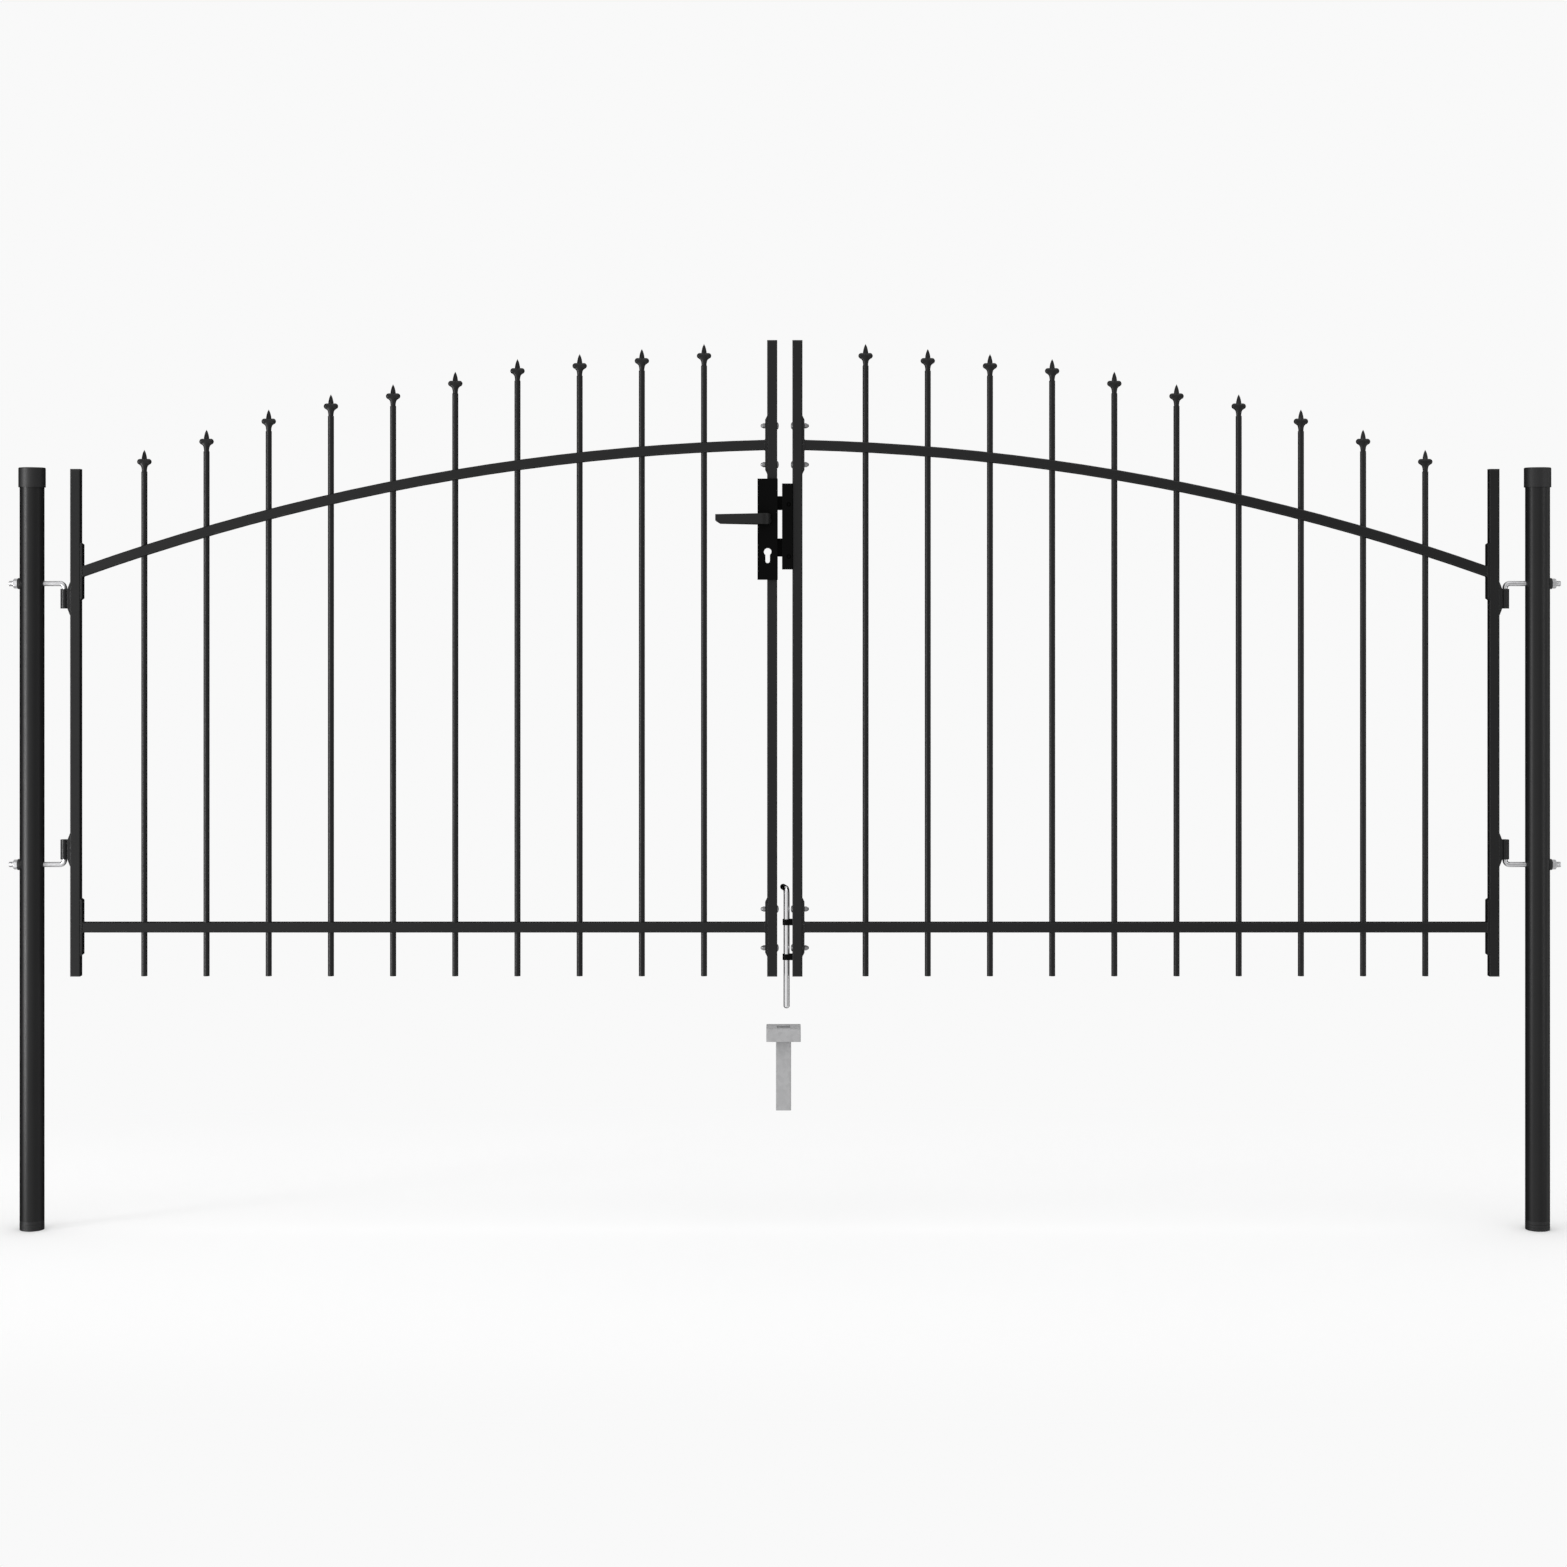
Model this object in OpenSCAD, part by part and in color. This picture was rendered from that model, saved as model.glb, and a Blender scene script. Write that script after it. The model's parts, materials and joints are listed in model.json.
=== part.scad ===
// Double driveway gate of steel tube: two spear-topped leaves under one rising arch, hung on
// two round posts with hook hinges, with a lever lock, a drop bolt and a ground socket.
// The origin is the centre of the left post's foot. +X runs to the right post, -Y is the
// street side and +Z is up.

/* [Posts] */
// Outer diameter of a round post
post_d = 48; // [44:1:60]
// Wall of the post tube
post_wall = 2; // [1.5:0.5:3]
// Height of a post's tube above the level of its upper hook
post_above = 227.5; // [180:0.5:400]
// Height of the ribbed foot plug below the tube
foot_h = 18; // [14:1:26]
// Height of the sleeve cap on a post
cap_h = 39; // [30:1:50]
// Wall of the sleeve cap
cap_wall = 2.4; // [1.6:0.2:4]
// Height of the ground above the posts' feet
ground_h = 401; // [396:0.5:406]

/* [Leaves] */
// Width of one leaf over its stiles
leaf_w = 1400; // [1320:5:1500]
// Clear gap between a post and its leaf
post_gap = 53.5; // [50:0.5:65]
// Clear gap between the two closed leaves
meet_gap = 30; // [28:1:34]
// Clear height under the leaves
leaf_clear = 100.5; // [96:0.5:105]
// Side of the square tube of stiles and rails
tube = 20; // [19:0.5:22]
// Wall of the square tube
tube_wall = 1.5; // [1.2:0.1:1.8]
// Outer radius of the square tube's long edges
tube_corner = 2; // [1:0.25:3]
// Height of a hinge stile's top above the arch rail's centre
hinge_stile_above = 208; // [160:1:260]
// Height of a meeting stile's top above the arch rail's centre
meeting_stile_above = 207; // [160:1:260]
// Thickness of a stile's end cap outside the tube
end_cap = 2.5; // [2:0.5:4]
// Height of the bottom rail's centre above the leaf's underside
bottom_rail_up = 97; // [92:1:100]

/* [Arch] */
// Height of the arch rail's centre at the hinge stile, above the leaf's underside
arch_low = 797; // [790:1:805]
// Height of the arch rail's centre at the meeting stile, above the leaf's underside
arch_high = 1053; // [1050:1:1058]
// Radius of the arch rail's centre line
arch_r = 4352; // [3600:1:6000]
// Thickness of the flange plate at a rail's end
flange_t = 4; // [3:0.5:5]
// Height of the flange plates on the hinge stiles
hinge_flange_h = 113; // [106:1:116]
// Height of the flange plates on the meeting stiles
meeting_flange_h = 115; // [110:1:118]
// Distance between the two bolts of a flange plate
flange_bolt_pitch = 77; // [72:1:80]
// Distance of the bottom rail's bolts below its axis
bottom_bolt_drop = 2; // [0:0.5:3]

/* [Pickets] */
// Diameter of a picket
picket_d = 12; // [10:0.5:13]
// Wall of the picket tube
picket_wall = 1; // [0.8:0.1:1.5]
// Distance from a leaf's edge to the centre of its first picket
picket_edge = 145.15; // [60:0.05:150]
// Height of a cast spear finial above its picket
finial_h = 43; // [40:1:48]
// Span over the two lobes of a finial
finial_w = 28.6; // [26:0.2:34]
// Distance from a finial's tip down to the middle of its lobes
lobe_down = 23.5; // [22:0.5:25]
// Diameter of a finial's lobes
lobe_d = 11.6; // [9:0.2:12.4]
// Width of a finial's blade across its edges, at the lobes
blade_w = 10.8; // [9:0.2:11.6]

/* [Hinges] */
// Diameter of a hook's rod and pin
hook_d = 10; // [9:0.5:11]
// Outer diameter of a hinge barrel
barrel_d = 16; // [15.5:0.5:18]
// Height of a hinge barrel
barrel_h = 39; // [34:1:42]
// Thickness of the plate behind a barrel
barrel_plate_t = 5; // [4.5:0.5:6]
// Height of the plate behind a barrel
barrel_plate_h = 65; // [60:1:70]
// Height of the lower barrel's centre above the leaf's underside
barrel_low_up = 251; // [230:1:300]
// Height of the upper barrel's centre above the leaf's underside
barrel_high_up = 748; // [700:1:760]
// Distance from a barrel's centre to its hook's level rod
hook_rise = 30; // [29:0.5:34]

/* [Lock] */
// Width of the lock case
lock_w = 40; // [38:1:44]
// Depth of the lock case from front to back
lock_depth = 40; // [36:1:46]
// Height of the lock case
lock_h = 200; // [192:1:206]
// Gap between the flange plate above the lock and the top of the case
lock_gap = 10; // [8:0.5:14]
// Depth of the lever's spindle below the top of the case
spindle_down = 79.5; // [78:0.5:82]
// Depth of the round of the keyhole below the top of the case
keyhole_down = 144.5; // [142:0.5:147]
// Diameter of the round of the keyhole
keyhole_d = 15; // [14:0.5:17]
// Height of the whole keyhole
keyhole_h = 30; // [28:0.5:33]
// Length of the lever from its spindle to its tip
lever_len = 103; // [95:1:108]
// Depth of the latch bolt's middle below the top of the case
latch_down = 48; // [46:1:50]
// Height of the latch bolt
latch_h = 27.5; // [24:0.5:29]
// Depth of the dead bolt's middle below the top of the case
dead_bolt_down = 136; // [135:0.5:137]
// Height of the dead bolt
dead_bolt_h = 36; // [34:0.5:37]
// Width of the keeper's box
keeper_w = 20.5; // [19:0.5:21]
// Height of the keeper's box
keeper_h = 170; // [166:1:174]
// Depth of the keeper's top below the top of the lock case
keeper_down = 9.5; // [8:0.5:11]

/* [Drop bolt] */
// Diameter of the drop bolt's rod
drop_d = 12; // [11:0.5:12.5]
// Clear height of the raised bolt's tip above the ground
drop_tip_up = 36.5; // [32:0.5:42]
// Distance that the raised bolt can fall before its bend meets the upper guide loop
drop_fall = 50; // [40:1:60]
// Distance of the drop bolt from the gate's middle, towards the right leaf
drop_side = 3.5; // [3:0.1:3.8]
// Height of the lower guide loop's middle above the leaf's underside
guide_low_up = 38; // [30:0.5:45]
// Height of the upper guide loop's middle above the leaf's underside
guide_high_up = 107; // [95:0.5:108]
// Distance of the ground socket from the gate's middle, towards the left leaf
socket_side = 2.5; // [2:0.1:2.8]
// Width of the ground socket's head
socket_w = 68; // [60:1:76]
// Height of the ground socket's head
socket_head_h = 25; // [20:1:32]
// Side of the ground socket's square stem
socket_stem = 30; // [30:1:34]
// Overall height of the ground socket
socket_h = 163.5; // [150:0.5:175]

/* [Hidden] */
$fn = 64;

// Finishes as the photo shows them
frame_black = [0.19, 0.19, 0.19];
lock_black = [0.06, 0.06, 0.06];
plastic_black = [0.13, 0.13, 0.13];
zinc = [0.74, 0.75, 0.77];

// A hair of extra length for cutters, and the play of a running fit on each side
eps = 1;
running_play = 0.05;

// Cut lengths of one leaf's pickets, from the hinge stile to the meeting stile
picket_len = [1000, 1040, 1080, 1110, 1130, 1155, 1180, 1190, 1200, 1210];
picket_count = len(picket_len);
picket_pitch = (leaf_w - 2 * picket_edge) / (picket_count - 1);
picket_bore = picket_d - 2 * picket_wall;

// The leaf's edges in X, with the gate's middle half-way between the posts
post_r = post_d / 2;
leaf_lift = ground_h + leaf_clear;
leaf_x0 = post_r + post_gap;
leaf_x1 = leaf_x0 + leaf_w;
middle_x = leaf_x1 + meet_gap / 2;
half_tube = tube / 2;
hinge_stile_len = arch_low + hinge_stile_above;
meeting_stile_len = arch_high + meeting_stile_above;

// Rails run between the inner faces of the flange plates
rail_x0 = leaf_x0 + tube + flange_t;
rail_x1 = leaf_x1 - tube - flange_t;
bottom_rail_z = leaf_lift + bottom_rail_up;

// The arch's circle goes through its two ends on the stiles' centre lines
arch_x0 = leaf_x0 + half_tube;
arch_x1 = leaf_x1 - half_tube;
arch_z0 = leaf_lift + arch_low;
arch_z1 = leaf_lift + arch_high;
arch_run = arch_x1 - arch_x0;
arch_rise = arch_z1 - arch_z0;
arch_chord = sqrt(arch_run * arch_run + arch_rise * arch_rise);
arch_drop = sqrt(arch_r * arch_r - arch_chord * arch_chord / 4);
arch_cx = (arch_x0 + arch_x1) / 2 + arch_drop * arch_rise / arch_chord;
arch_cz = (arch_z0 + arch_z1) / 2 - arch_drop * arch_run / arch_chord;
arch_angle0 = acos((leaf_x1 + tube - arch_cx) / arch_r);
arch_angle1 = acos((leaf_x0 - tube - arch_cx) / arch_r);

// The flange bolts on the meeting stile, a pair at each rail
flange_bolt_d = 5;
meeting_levels = [
    for (z = [bottom_rail_z - bottom_bolt_drop, arch_z1], side = [-1, 1]) z + side * flange_bolt_pitch / 2
];

// Hinge axis, outside the hinge stile by the plate and half the barrel
hinge_x = leaf_x0 - barrel_plate_t - barrel_d / 2;
hook_bend_r = 9;
pin_short = 2;
saddle_d = 22;
saddle_t = 3.5;
nut_flats = 17;
nut_t = 8.5;
thread_out = 9;
barrel_levels = [leaf_lift + barrel_low_up, leaf_lift + barrel_high_up];
hook_levels = [barrel_levels[0] - hook_rise, barrel_levels[1] + hook_rise];
post_h = hook_levels[1] + post_above;

// Lock, lever and keeper
lock_wall = 2.5;
lock_corner = 1.5;
lock_proud = 1;
lock_x1 = leaf_x1 + lock_proud;
lock_x0 = lock_x1 - lock_w;
lock_z1 = arch_z1 - meeting_flange_h / 2 - lock_gap;
lock_z0 = lock_z1 - lock_h;
spindle_x = (lock_x0 + lock_x1) / 2;
spindle_z = lock_z1 - spindle_down;
keyhole_z = lock_z1 - keyhole_down;
keyhole_slot = 9;
latch_z = lock_z1 - latch_down;
latch_t = 12;
dead_bolt_z = lock_z1 - dead_bolt_down;
dead_bolt_t = 10;
bolt_out = 16;
bolt_tip_x = lock_x1 + bolt_out;
latch_tail = 22;
latch_nose = 4;
dead_bolt_tail = 12;
keyhole_clear = 2;
neck_d = 14;
lever_root_h = 21.5;
lever_tip_h = 17.3;
lever_t = 11;
lever_gap = 18;
lever_play = 1;
right_leaf_x0 = leaf_x1 + meet_gap;
keeper_x0 = right_leaf_x0 - keeper_w;
keeper_z0 = lock_z1 - keeper_down - keeper_h;
keeper_depth = 32;
keeper_wall = 2;
pocket_play = 0.9;

// Drop bolt and ground socket
drop_x = middle_x + drop_side;
drop_r = drop_d / 2;
drop_bend_r = 10;
drop_arm = 40;
drop_arm_turn = 80;
drop_tip_z = ground_h + drop_tip_up;
guide_h = 11.5;
guide_wall = 2;
guide_levels = [leaf_lift + guide_low_up, leaf_lift + guide_high_up];
drop_bend_z = guide_levels[1] + guide_h / 2 + drop_fall;
socket_x = middle_x - socket_side;
socket_wall = 2;

// Draws its children for the right-hand leaf and post
module on_right() {
    translate([2 * middle_x, 0, 0]) mirror([1, 0, 0]) children();
}

// A rectangle with round corners, centred
module rounded_rect(w, d, r) {
    square([w, d - 2 * r], center = true);
    square([w - 2 * r, d], center = true);
    for (x = [-1, 1], y = [-1, 1])
        translate([x * (w / 2 - r), y * (d / 2 - r)]) circle(r = r);
}

// Outline and bore of the square tube
module tube_outline() { rounded_rect(tube, tube, tube_corner); }
module tube_bore() {
    inner = tube - 2 * tube_wall;
    rounded_rect(inner, inner, max(tube_corner - tube_wall, 0.3));
}

// A square tube stood on end, centred on x
module upright_tube(x, z0, z1) {
    difference() {
        translate([x, 0, z0]) linear_extrude(z1 - z0) tube_outline();
        translate([x, 0, z0 - eps]) linear_extrude(z1 - z0 + 2 * eps) tube_bore();
    }
}

// Height of a circle of radius r round the arch's centre, at a place in X
function arch_at(x, r) = arch_cz + sqrt(r * r - (x - arch_cx) * (x - arch_cx));

// X of each picket, spaced evenly about the middle of the leaf
function picket_x(i) = (leaf_x0 + leaf_x1) / 2 + (i - (picket_count - 1) / 2) * picket_pitch;

// Post, cap and foot
module post_tube() {
    difference() {
        translate([0, 0, foot_h]) cylinder(d = post_d, h = post_h - foot_h);
        translate([0, 0, foot_h - eps])
            cylinder(d = post_d - 2 * post_wall, h = post_h - foot_h + 2 * eps);
        for (z = hook_levels)
            translate([-post_d, 0, z]) rotate([0, 90, 0]) cylinder(d = hook_d, h = 2 * post_d);
    }
}

module post_cap() {
    cap_r = post_r + cap_wall;
    edge_r = 2.2;
    top = post_h + cap_wall;
    difference() {
        union() {
            translate([0, 0, top - cap_h]) cylinder(r = cap_r, h = cap_h - edge_r);
            translate([0, 0, top - cap_h]) cylinder(r = cap_r - edge_r, h = cap_h);
            translate([0, 0, top - edge_r]) rotate_extrude()
                translate([cap_r - edge_r, 0]) circle(r = edge_r);
        }
        translate([0, 0, top - cap_h - eps]) cylinder(r = post_r, h = cap_h - cap_wall + eps);
    }
}

module post_foot() {
    rib_gap = 1.4;
    rib_depth = 1;
    plug_h = 22;
    difference() {
        union() {
            cylinder(r = post_r, h = foot_h);
            cylinder(r = post_r - post_wall, h = foot_h + plug_h);
        }
        for (z = [foot_h / 3, foot_h * 2 / 3])
            translate([0, 0, z - rib_gap / 2]) difference() {
                cylinder(r = post_r + eps, h = rib_gap);
                translate([0, 0, -eps]) cylinder(r = post_r - rib_depth, h = rib_gap + 2 * eps);
            }
    }
}

// Hook: threaded rod through the post, bent up or down into the hinge pin
module hook(level, way) {
    rod_x0 = -post_r - saddle_t - nut_t - thread_out;
    bend_x = hinge_x - hook_bend_r;
    pin_len = hook_rise - hook_bend_r + barrel_h / 2 - pin_short;
    translate([rod_x0, 0, level]) rotate([0, 90, 0]) cylinder(d = hook_d, h = bend_x - rod_x0);
    translate([bend_x, 0, level + way * hook_bend_r]) rotate([90, 0, 0])
        rotate([0, 0, way > 0 ? -90 : 0])
            rotate_extrude(angle = 90) translate([hook_bend_r, 0]) circle(d = hook_d);
    translate([hinge_x, 0, way > 0 ? level + hook_bend_r : level - hook_bend_r - pin_len])
        cylinder(d = hook_d, h = pin_len);
}

// Saddle washer shaped to the post, under each hook's nut
module saddles() {
    for (z = hook_levels)
        difference() {
            translate([-post_r - saddle_t, 0, z]) rotate([0, 90, 0])
                cylinder(d = saddle_d, h = saddle_t + post_r / 2);
            translate([0, 0, z - saddle_d]) cylinder(r = post_r, h = 2 * saddle_d);
            translate([-post_d, 0, z]) rotate([0, 90, 0]) cylinder(d = hook_d, h = post_d);
        }
}

module nuts() {
    for (z = hook_levels)
        translate([-post_r - saddle_t - nut_t, 0, z]) rotate([0, 90, 0])
            difference() {
                cylinder(d = nut_flats / cos(30), h = nut_t, $fn = 6);
                translate([0, 0, -eps]) cylinder(d = hook_d, h = nut_t + 2 * eps);
            }
}

// Stiles and their end caps
module hinge_stile() {
    color(frame_black)
        upright_tube(arch_x0, leaf_lift + end_cap, leaf_lift + hinge_stile_len - end_cap);
}

module stile_cap(x, z, up) {
    plug = 12;
    translate([x, 0, up ? z - end_cap : z]) linear_extrude(end_cap) tube_outline();
    translate([x, 0, up ? z - end_cap - plug : z]) linear_extrude(plug + end_cap) tube_bore();
}

module stile_caps() {
    color(plastic_black) {
        stile_cap(arch_x0, leaf_lift, false);
        stile_cap(arch_x1, leaf_lift, false);
        stile_cap(arch_x0, leaf_lift + hinge_stile_len, true);
        stile_cap(arch_x1, leaf_lift + meeting_stile_len, true);
    }
}

// Rails, drilled for the pickets
module picket_holes(z0, z1) {
    for (i = [0 : picket_count - 1])
        translate([picket_x(i), 0, z0]) cylinder(d = picket_d, h = z1 - z0);
}

module bottom_rail() {
    color(frame_black) difference() {
        translate([rail_x0, 0, bottom_rail_z]) rotate([90, 0, 90])
            linear_extrude(rail_x1 - rail_x0) tube_outline();
        translate([rail_x0 - eps, 0, bottom_rail_z]) rotate([90, 0, 90])
            linear_extrude(rail_x1 - rail_x0 + 2 * eps) tube_bore();
        picket_holes(bottom_rail_z - tube, bottom_rail_z + tube);
    }
}

// Sweeps its children, an outline, along the arch
module along_arch() {
    translate([arch_cx, 0, arch_cz]) rotate([90, 0, 0]) rotate([0, 0, arch_angle0])
        rotate_extrude(angle = arch_angle1 - arch_angle0, $fn = 720)
            translate([arch_r, 0]) children();
}

module arch_rail() {
    color(frame_black) intersection() {
        difference() {
            along_arch() tube_outline();
            along_arch() tube_bore();
            picket_holes(arch_z0 - tube, arch_z1 + 2 * tube);
        }
        translate([rail_x0, -tube, arch_z0 - 2 * tube])
            cube([rail_x1 - rail_x0, 2 * tube, arch_rise + 5 * tube]);
    }
}

module pickets() {
    color(frame_black) for (i = [0 : picket_count - 1])
        translate([picket_x(i), 0, leaf_lift]) difference() {
            cylinder(d = picket_d, h = picket_len[i]);
            translate([0, 0, -eps]) cylinder(d = picket_bore, h = picket_len[i] + 2 * eps);
        }
}

// One view of the blade, half a width at its foot: two arcs that meet in the tip
module blade_view(half, len) {
    side_r = (half * half + len * len) / (2 * half);
    intersection() {
        translate([half - side_r, 0]) circle(r = side_r, $fn = 360);
        translate([side_r - half, 0]) circle(r = side_r, $fn = 360);
        translate([-half, 0]) square([2 * half, len]);
    }
}

// The four-sided blade stands on edge, with a ridge down its front and its back
module spear_blade(len) {
    half = blade_w / 2 / sqrt(2);
    intersection() {
        rotate([90, 0, 45]) linear_extrude(2 * blade_w, center = true) blade_view(half, len);
        rotate([90, 0, -45]) linear_extrude(2 * blade_w, center = true) blade_view(half, len);
    }
}

// Outline of a bar with two round ends, from its axis outwards
module lobe_bar_outline(reach) {
    intersection() {
        union() {
            translate([0, -reach]) square([lobe_d / 2, 2 * reach]);
            for (end = [-reach, reach]) translate([0, end]) circle(d = lobe_d);
        }
        translate([0, -finial_w / 2]) square([lobe_d / 2, finial_w]);
    }
}

// Cast finial: spigot, round neck, flared collar, a bar with two round lobes and the blade
module finial() {
    spigot_h = 8;
    neck_r = 5.4;
    flare_r = 4.6;
    lobe_z = finial_h - lobe_down;
    neck_h = lobe_z - lobe_d / 2 - 2.6;
    rotate_extrude() {
        translate([0, -spigot_h]) square([picket_bore / 2 - running_play, spigot_h]);
        square([neck_r, neck_h]);
    }
    intersection() {
        rotate_extrude() difference() {
            translate([0, neck_h]) square([neck_r + flare_r, lobe_z - neck_h]);
            translate([neck_r + flare_r, neck_h]) circle(r = flare_r);
        }
        translate([-finial_w, -lobe_d / 2, 0]) cube([2 * finial_w, lobe_d, lobe_z]);
    }
    translate([0, 0, lobe_z]) {
        rotate([0, 90, 0]) rotate_extrude() lobe_bar_outline((finial_w - lobe_d) / 2);
        spear_blade(lobe_down);
    }
}

module finials() {
    color(frame_black) for (i = [0 : picket_count - 1])
        translate([picket_x(i), 0, leaf_lift + picket_len[i]]) finial();
}

// Flange plate on a stile's face, centred at z, with its two ends bevelled back
module flange(x, z, h, t, bevel) {
    translate([0, half_tube, 0]) rotate([90, 0, 0]) linear_extrude(tube)
        polygon([[x, z - h / 2], [x, z + h / 2], [x + t, z + h / 2 - bevel],
                 [x + t, z - h / 2 + bevel]]);
}

module hinge_flanges() {
    x = leaf_x0 + tube;
    bevel = 3;
    color(frame_black) {
        flange(x, arch_at(rail_x0, arch_r), hinge_flange_h, flange_t, bevel);
        flange(x, bottom_rail_z, hinge_flange_h, flange_t, bevel);
    }
}

module meeting_flanges() {
    x = leaf_x1 - tube;
    bevel = 8;
    color(frame_black) difference() {
        for (z = [bottom_rail_z, arch_z1]) translate([2 * x, 0, 0]) mirror([1, 0, 0])
            flange(x, z, meeting_flange_h, flange_t, bevel);
        for (z = meeting_levels)
            translate([x - 2 * flange_t, 0, z]) rotate([0, 90, 0])
                cylinder(d = flange_bolt_d, h = 4 * flange_t);
    }
}

// Round-headed bolts through the meeting stile, with hexagon nuts on the flange plates
module flange_bolts() {
    head_d = 14;
    head_t = 3;
    head_r = 10;
    bolt_nut = 8;
    bolt_nut_t = 4;
    thread_end = 5;
    x0 = leaf_x1 - tube - flange_t;
    color(zinc) for (z = meeting_levels) translate([0, 0, z]) rotate([0, 90, 0]) {
        translate([0, 0, x0 - bolt_nut_t - thread_end])
            cylinder(d = flange_bolt_d,
                     h = thread_end + bolt_nut_t + flange_t + tube + head_t / 2);
        translate([0, 0, x0 - bolt_nut_t])
            cylinder(d = bolt_nut / cos(30), h = bolt_nut_t, $fn = 6);
        translate([0, 0, leaf_x1]) intersection() {
            cylinder(d = head_d, h = head_t);
            translate([0, 0, head_t - head_r]) sphere(r = head_r);
        }
    }
}

module meeting_stile_holes() {
    for (z = meeting_levels)
        translate([leaf_x1 - tube - eps, 0, z]) rotate([0, 90, 0])
            cylinder(d = flange_bolt_d, h = tube + 2 * eps);
}

// The lock's side: the stile is cut off below and above the lock case
module lock_side_stile() {
    color(frame_black) difference() {
        union() {
            upright_tube(arch_x1, leaf_lift + end_cap, lock_z0);
            upright_tube(arch_x1, lock_z1, leaf_lift + meeting_stile_len - end_cap);
        }
        meeting_stile_holes();
    }
}

module plain_meeting_stile() {
    color(frame_black) difference() {
        upright_tube(arch_x1, leaf_lift + end_cap, leaf_lift + meeting_stile_len - end_cap);
        meeting_stile_holes();
    }
}

// Hinge barrel on its plate with bevelled ends
module barrel(z) {
    plate_bevel = (barrel_plate_h - barrel_h) / 2;
    color(frame_black) difference() {
        union() {
            translate([0, half_tube, 0]) rotate([90, 0, 0]) linear_extrude(tube)
                polygon([[leaf_x0, z - barrel_plate_h / 2], [leaf_x0, z + barrel_plate_h / 2],
                         [leaf_x0 - barrel_plate_t, z + barrel_plate_h / 2 - plate_bevel],
                         [leaf_x0 - barrel_plate_t, z - barrel_plate_h / 2 + plate_bevel]]);
            translate([hinge_x, 0, z - barrel_h / 2]) cylinder(d = barrel_d, h = barrel_h);
            translate([hinge_x, -barrel_d / 4, z - barrel_h / 2])
                cube([barrel_d / 2 + eps, barrel_d / 2, barrel_h]);
        }
        translate([hinge_x, 0, z - barrel_h])
            cylinder(d = hook_d + 2 * running_play, h = 2 * barrel_h);
    }
}

// Outline of the keyhole: a round with a round-ended slot below it
module keyhole_outline() {
    slot_r = keyhole_slot / 2;
    circle(d = keyhole_d);
    translate([-slot_r, keyhole_d / 2 - keyhole_h + slot_r])
        square([keyhole_slot, keyhole_h - keyhole_d / 2 - slot_r]);
    translate([0, keyhole_d / 2 - keyhole_h + slot_r]) circle(r = slot_r);
}

module lock_case() {
    slot_play = 0.4;
    color(lock_black) difference() {
        translate([spindle_x, 0, lock_z0]) linear_extrude(lock_h)
            rounded_rect(lock_w, lock_depth, lock_corner);
        translate([lock_x0 + lock_wall, -lock_depth / 2 + lock_wall, lock_z0 + lock_wall])
            cube([lock_w - 2 * lock_wall, lock_depth - 2 * lock_wall, lock_h - 2 * lock_wall]);
        translate([spindle_x, lock_depth, keyhole_z]) rotate([90, 0, 0])
            linear_extrude(2 * lock_depth) keyhole_outline();
        translate([spindle_x, lock_depth, spindle_z]) rotate([90, 0, 0])
            cylinder(d = neck_d + 2 * running_play, h = 2 * lock_depth);
        translate([lock_x1 - 2 * lock_wall, -latch_t / 2 - slot_play,
                   latch_z - latch_h / 2 - slot_play])
            cube([4 * lock_wall, latch_t + 2 * slot_play, latch_h + 2 * slot_play]);
        translate([lock_x1 - 2 * lock_wall, -dead_bolt_t / 2 - slot_play,
                   dead_bolt_z - dead_bolt_h / 2 - slot_play])
            cube([4 * lock_wall, dead_bolt_t + 2 * slot_play, dead_bolt_h + 2 * slot_play]);
    }
}

// Front view of a lever with its spindle at the origin: a taper with one corner cut off
module lever_front() {
    chamfer_h = 5;
    chamfer_run = 8;
    circle(d = lever_root_h);
    polygon([[0, -lever_root_h / 2], [0, lever_root_h / 2], [-lever_len, lever_tip_h / 2],
             [-lever_len, -lever_tip_h / 2 + chamfer_h],
             [-lever_len + chamfer_run, -lever_tip_h / 2]]);
}

// The same lever from above: a bar that turns into its neck in a round elbow
module lever_plan(neck_from, reach) {
    elbow_r = 19;
    difference() {
        union() {
            translate([-lever_len, reach - lever_t]) square([lever_len + neck_d / 2, lever_t]);
            translate([-neck_d / 2, neck_from]) square([neck_d, reach - neck_from]);
        }
        difference() {
            translate([neck_d / 2 - elbow_r, reach - elbow_r]) square(elbow_r + eps);
            translate([neck_d / 2 - elbow_r, reach - elbow_r]) circle(r = elbow_r);
        }
    }
}

// One lever, drawn on the street side, on its round spindle
module lever() {
    neck_from = lock_depth / 2 + lever_play;
    reach = lock_depth / 2 + lever_gap + lever_t / 2;
    translate([spindle_x, 0, spindle_z]) {
        rotate([90, 0, 0]) cylinder(d = neck_d, h = neck_from);
        intersection() {
            rotate([90, 0, 0]) linear_extrude(reach) lever_front();
            translate([0, 0, -lever_root_h]) linear_extrude(2 * lever_root_h)
                mirror([0, 1]) lever_plan(neck_from, reach);
        }
    }
}

module lever_handle() {
    color(lock_black) {
        lever();
        mirror([0, 1, 0]) lever();
    }
}

module latch_bolt() {
    bevel = latch_t - latch_nose;
    color(lock_black) translate([0, 0, latch_z - latch_h / 2]) linear_extrude(latch_h)
        polygon([[lock_x1 - latch_tail, -latch_t / 2], [bolt_tip_x - bevel, -latch_t / 2],
                 [bolt_tip_x, -latch_t / 2 + bevel], [bolt_tip_x, latch_t / 2],
                 [lock_x1 - latch_tail, latch_t / 2]]);
}

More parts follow.
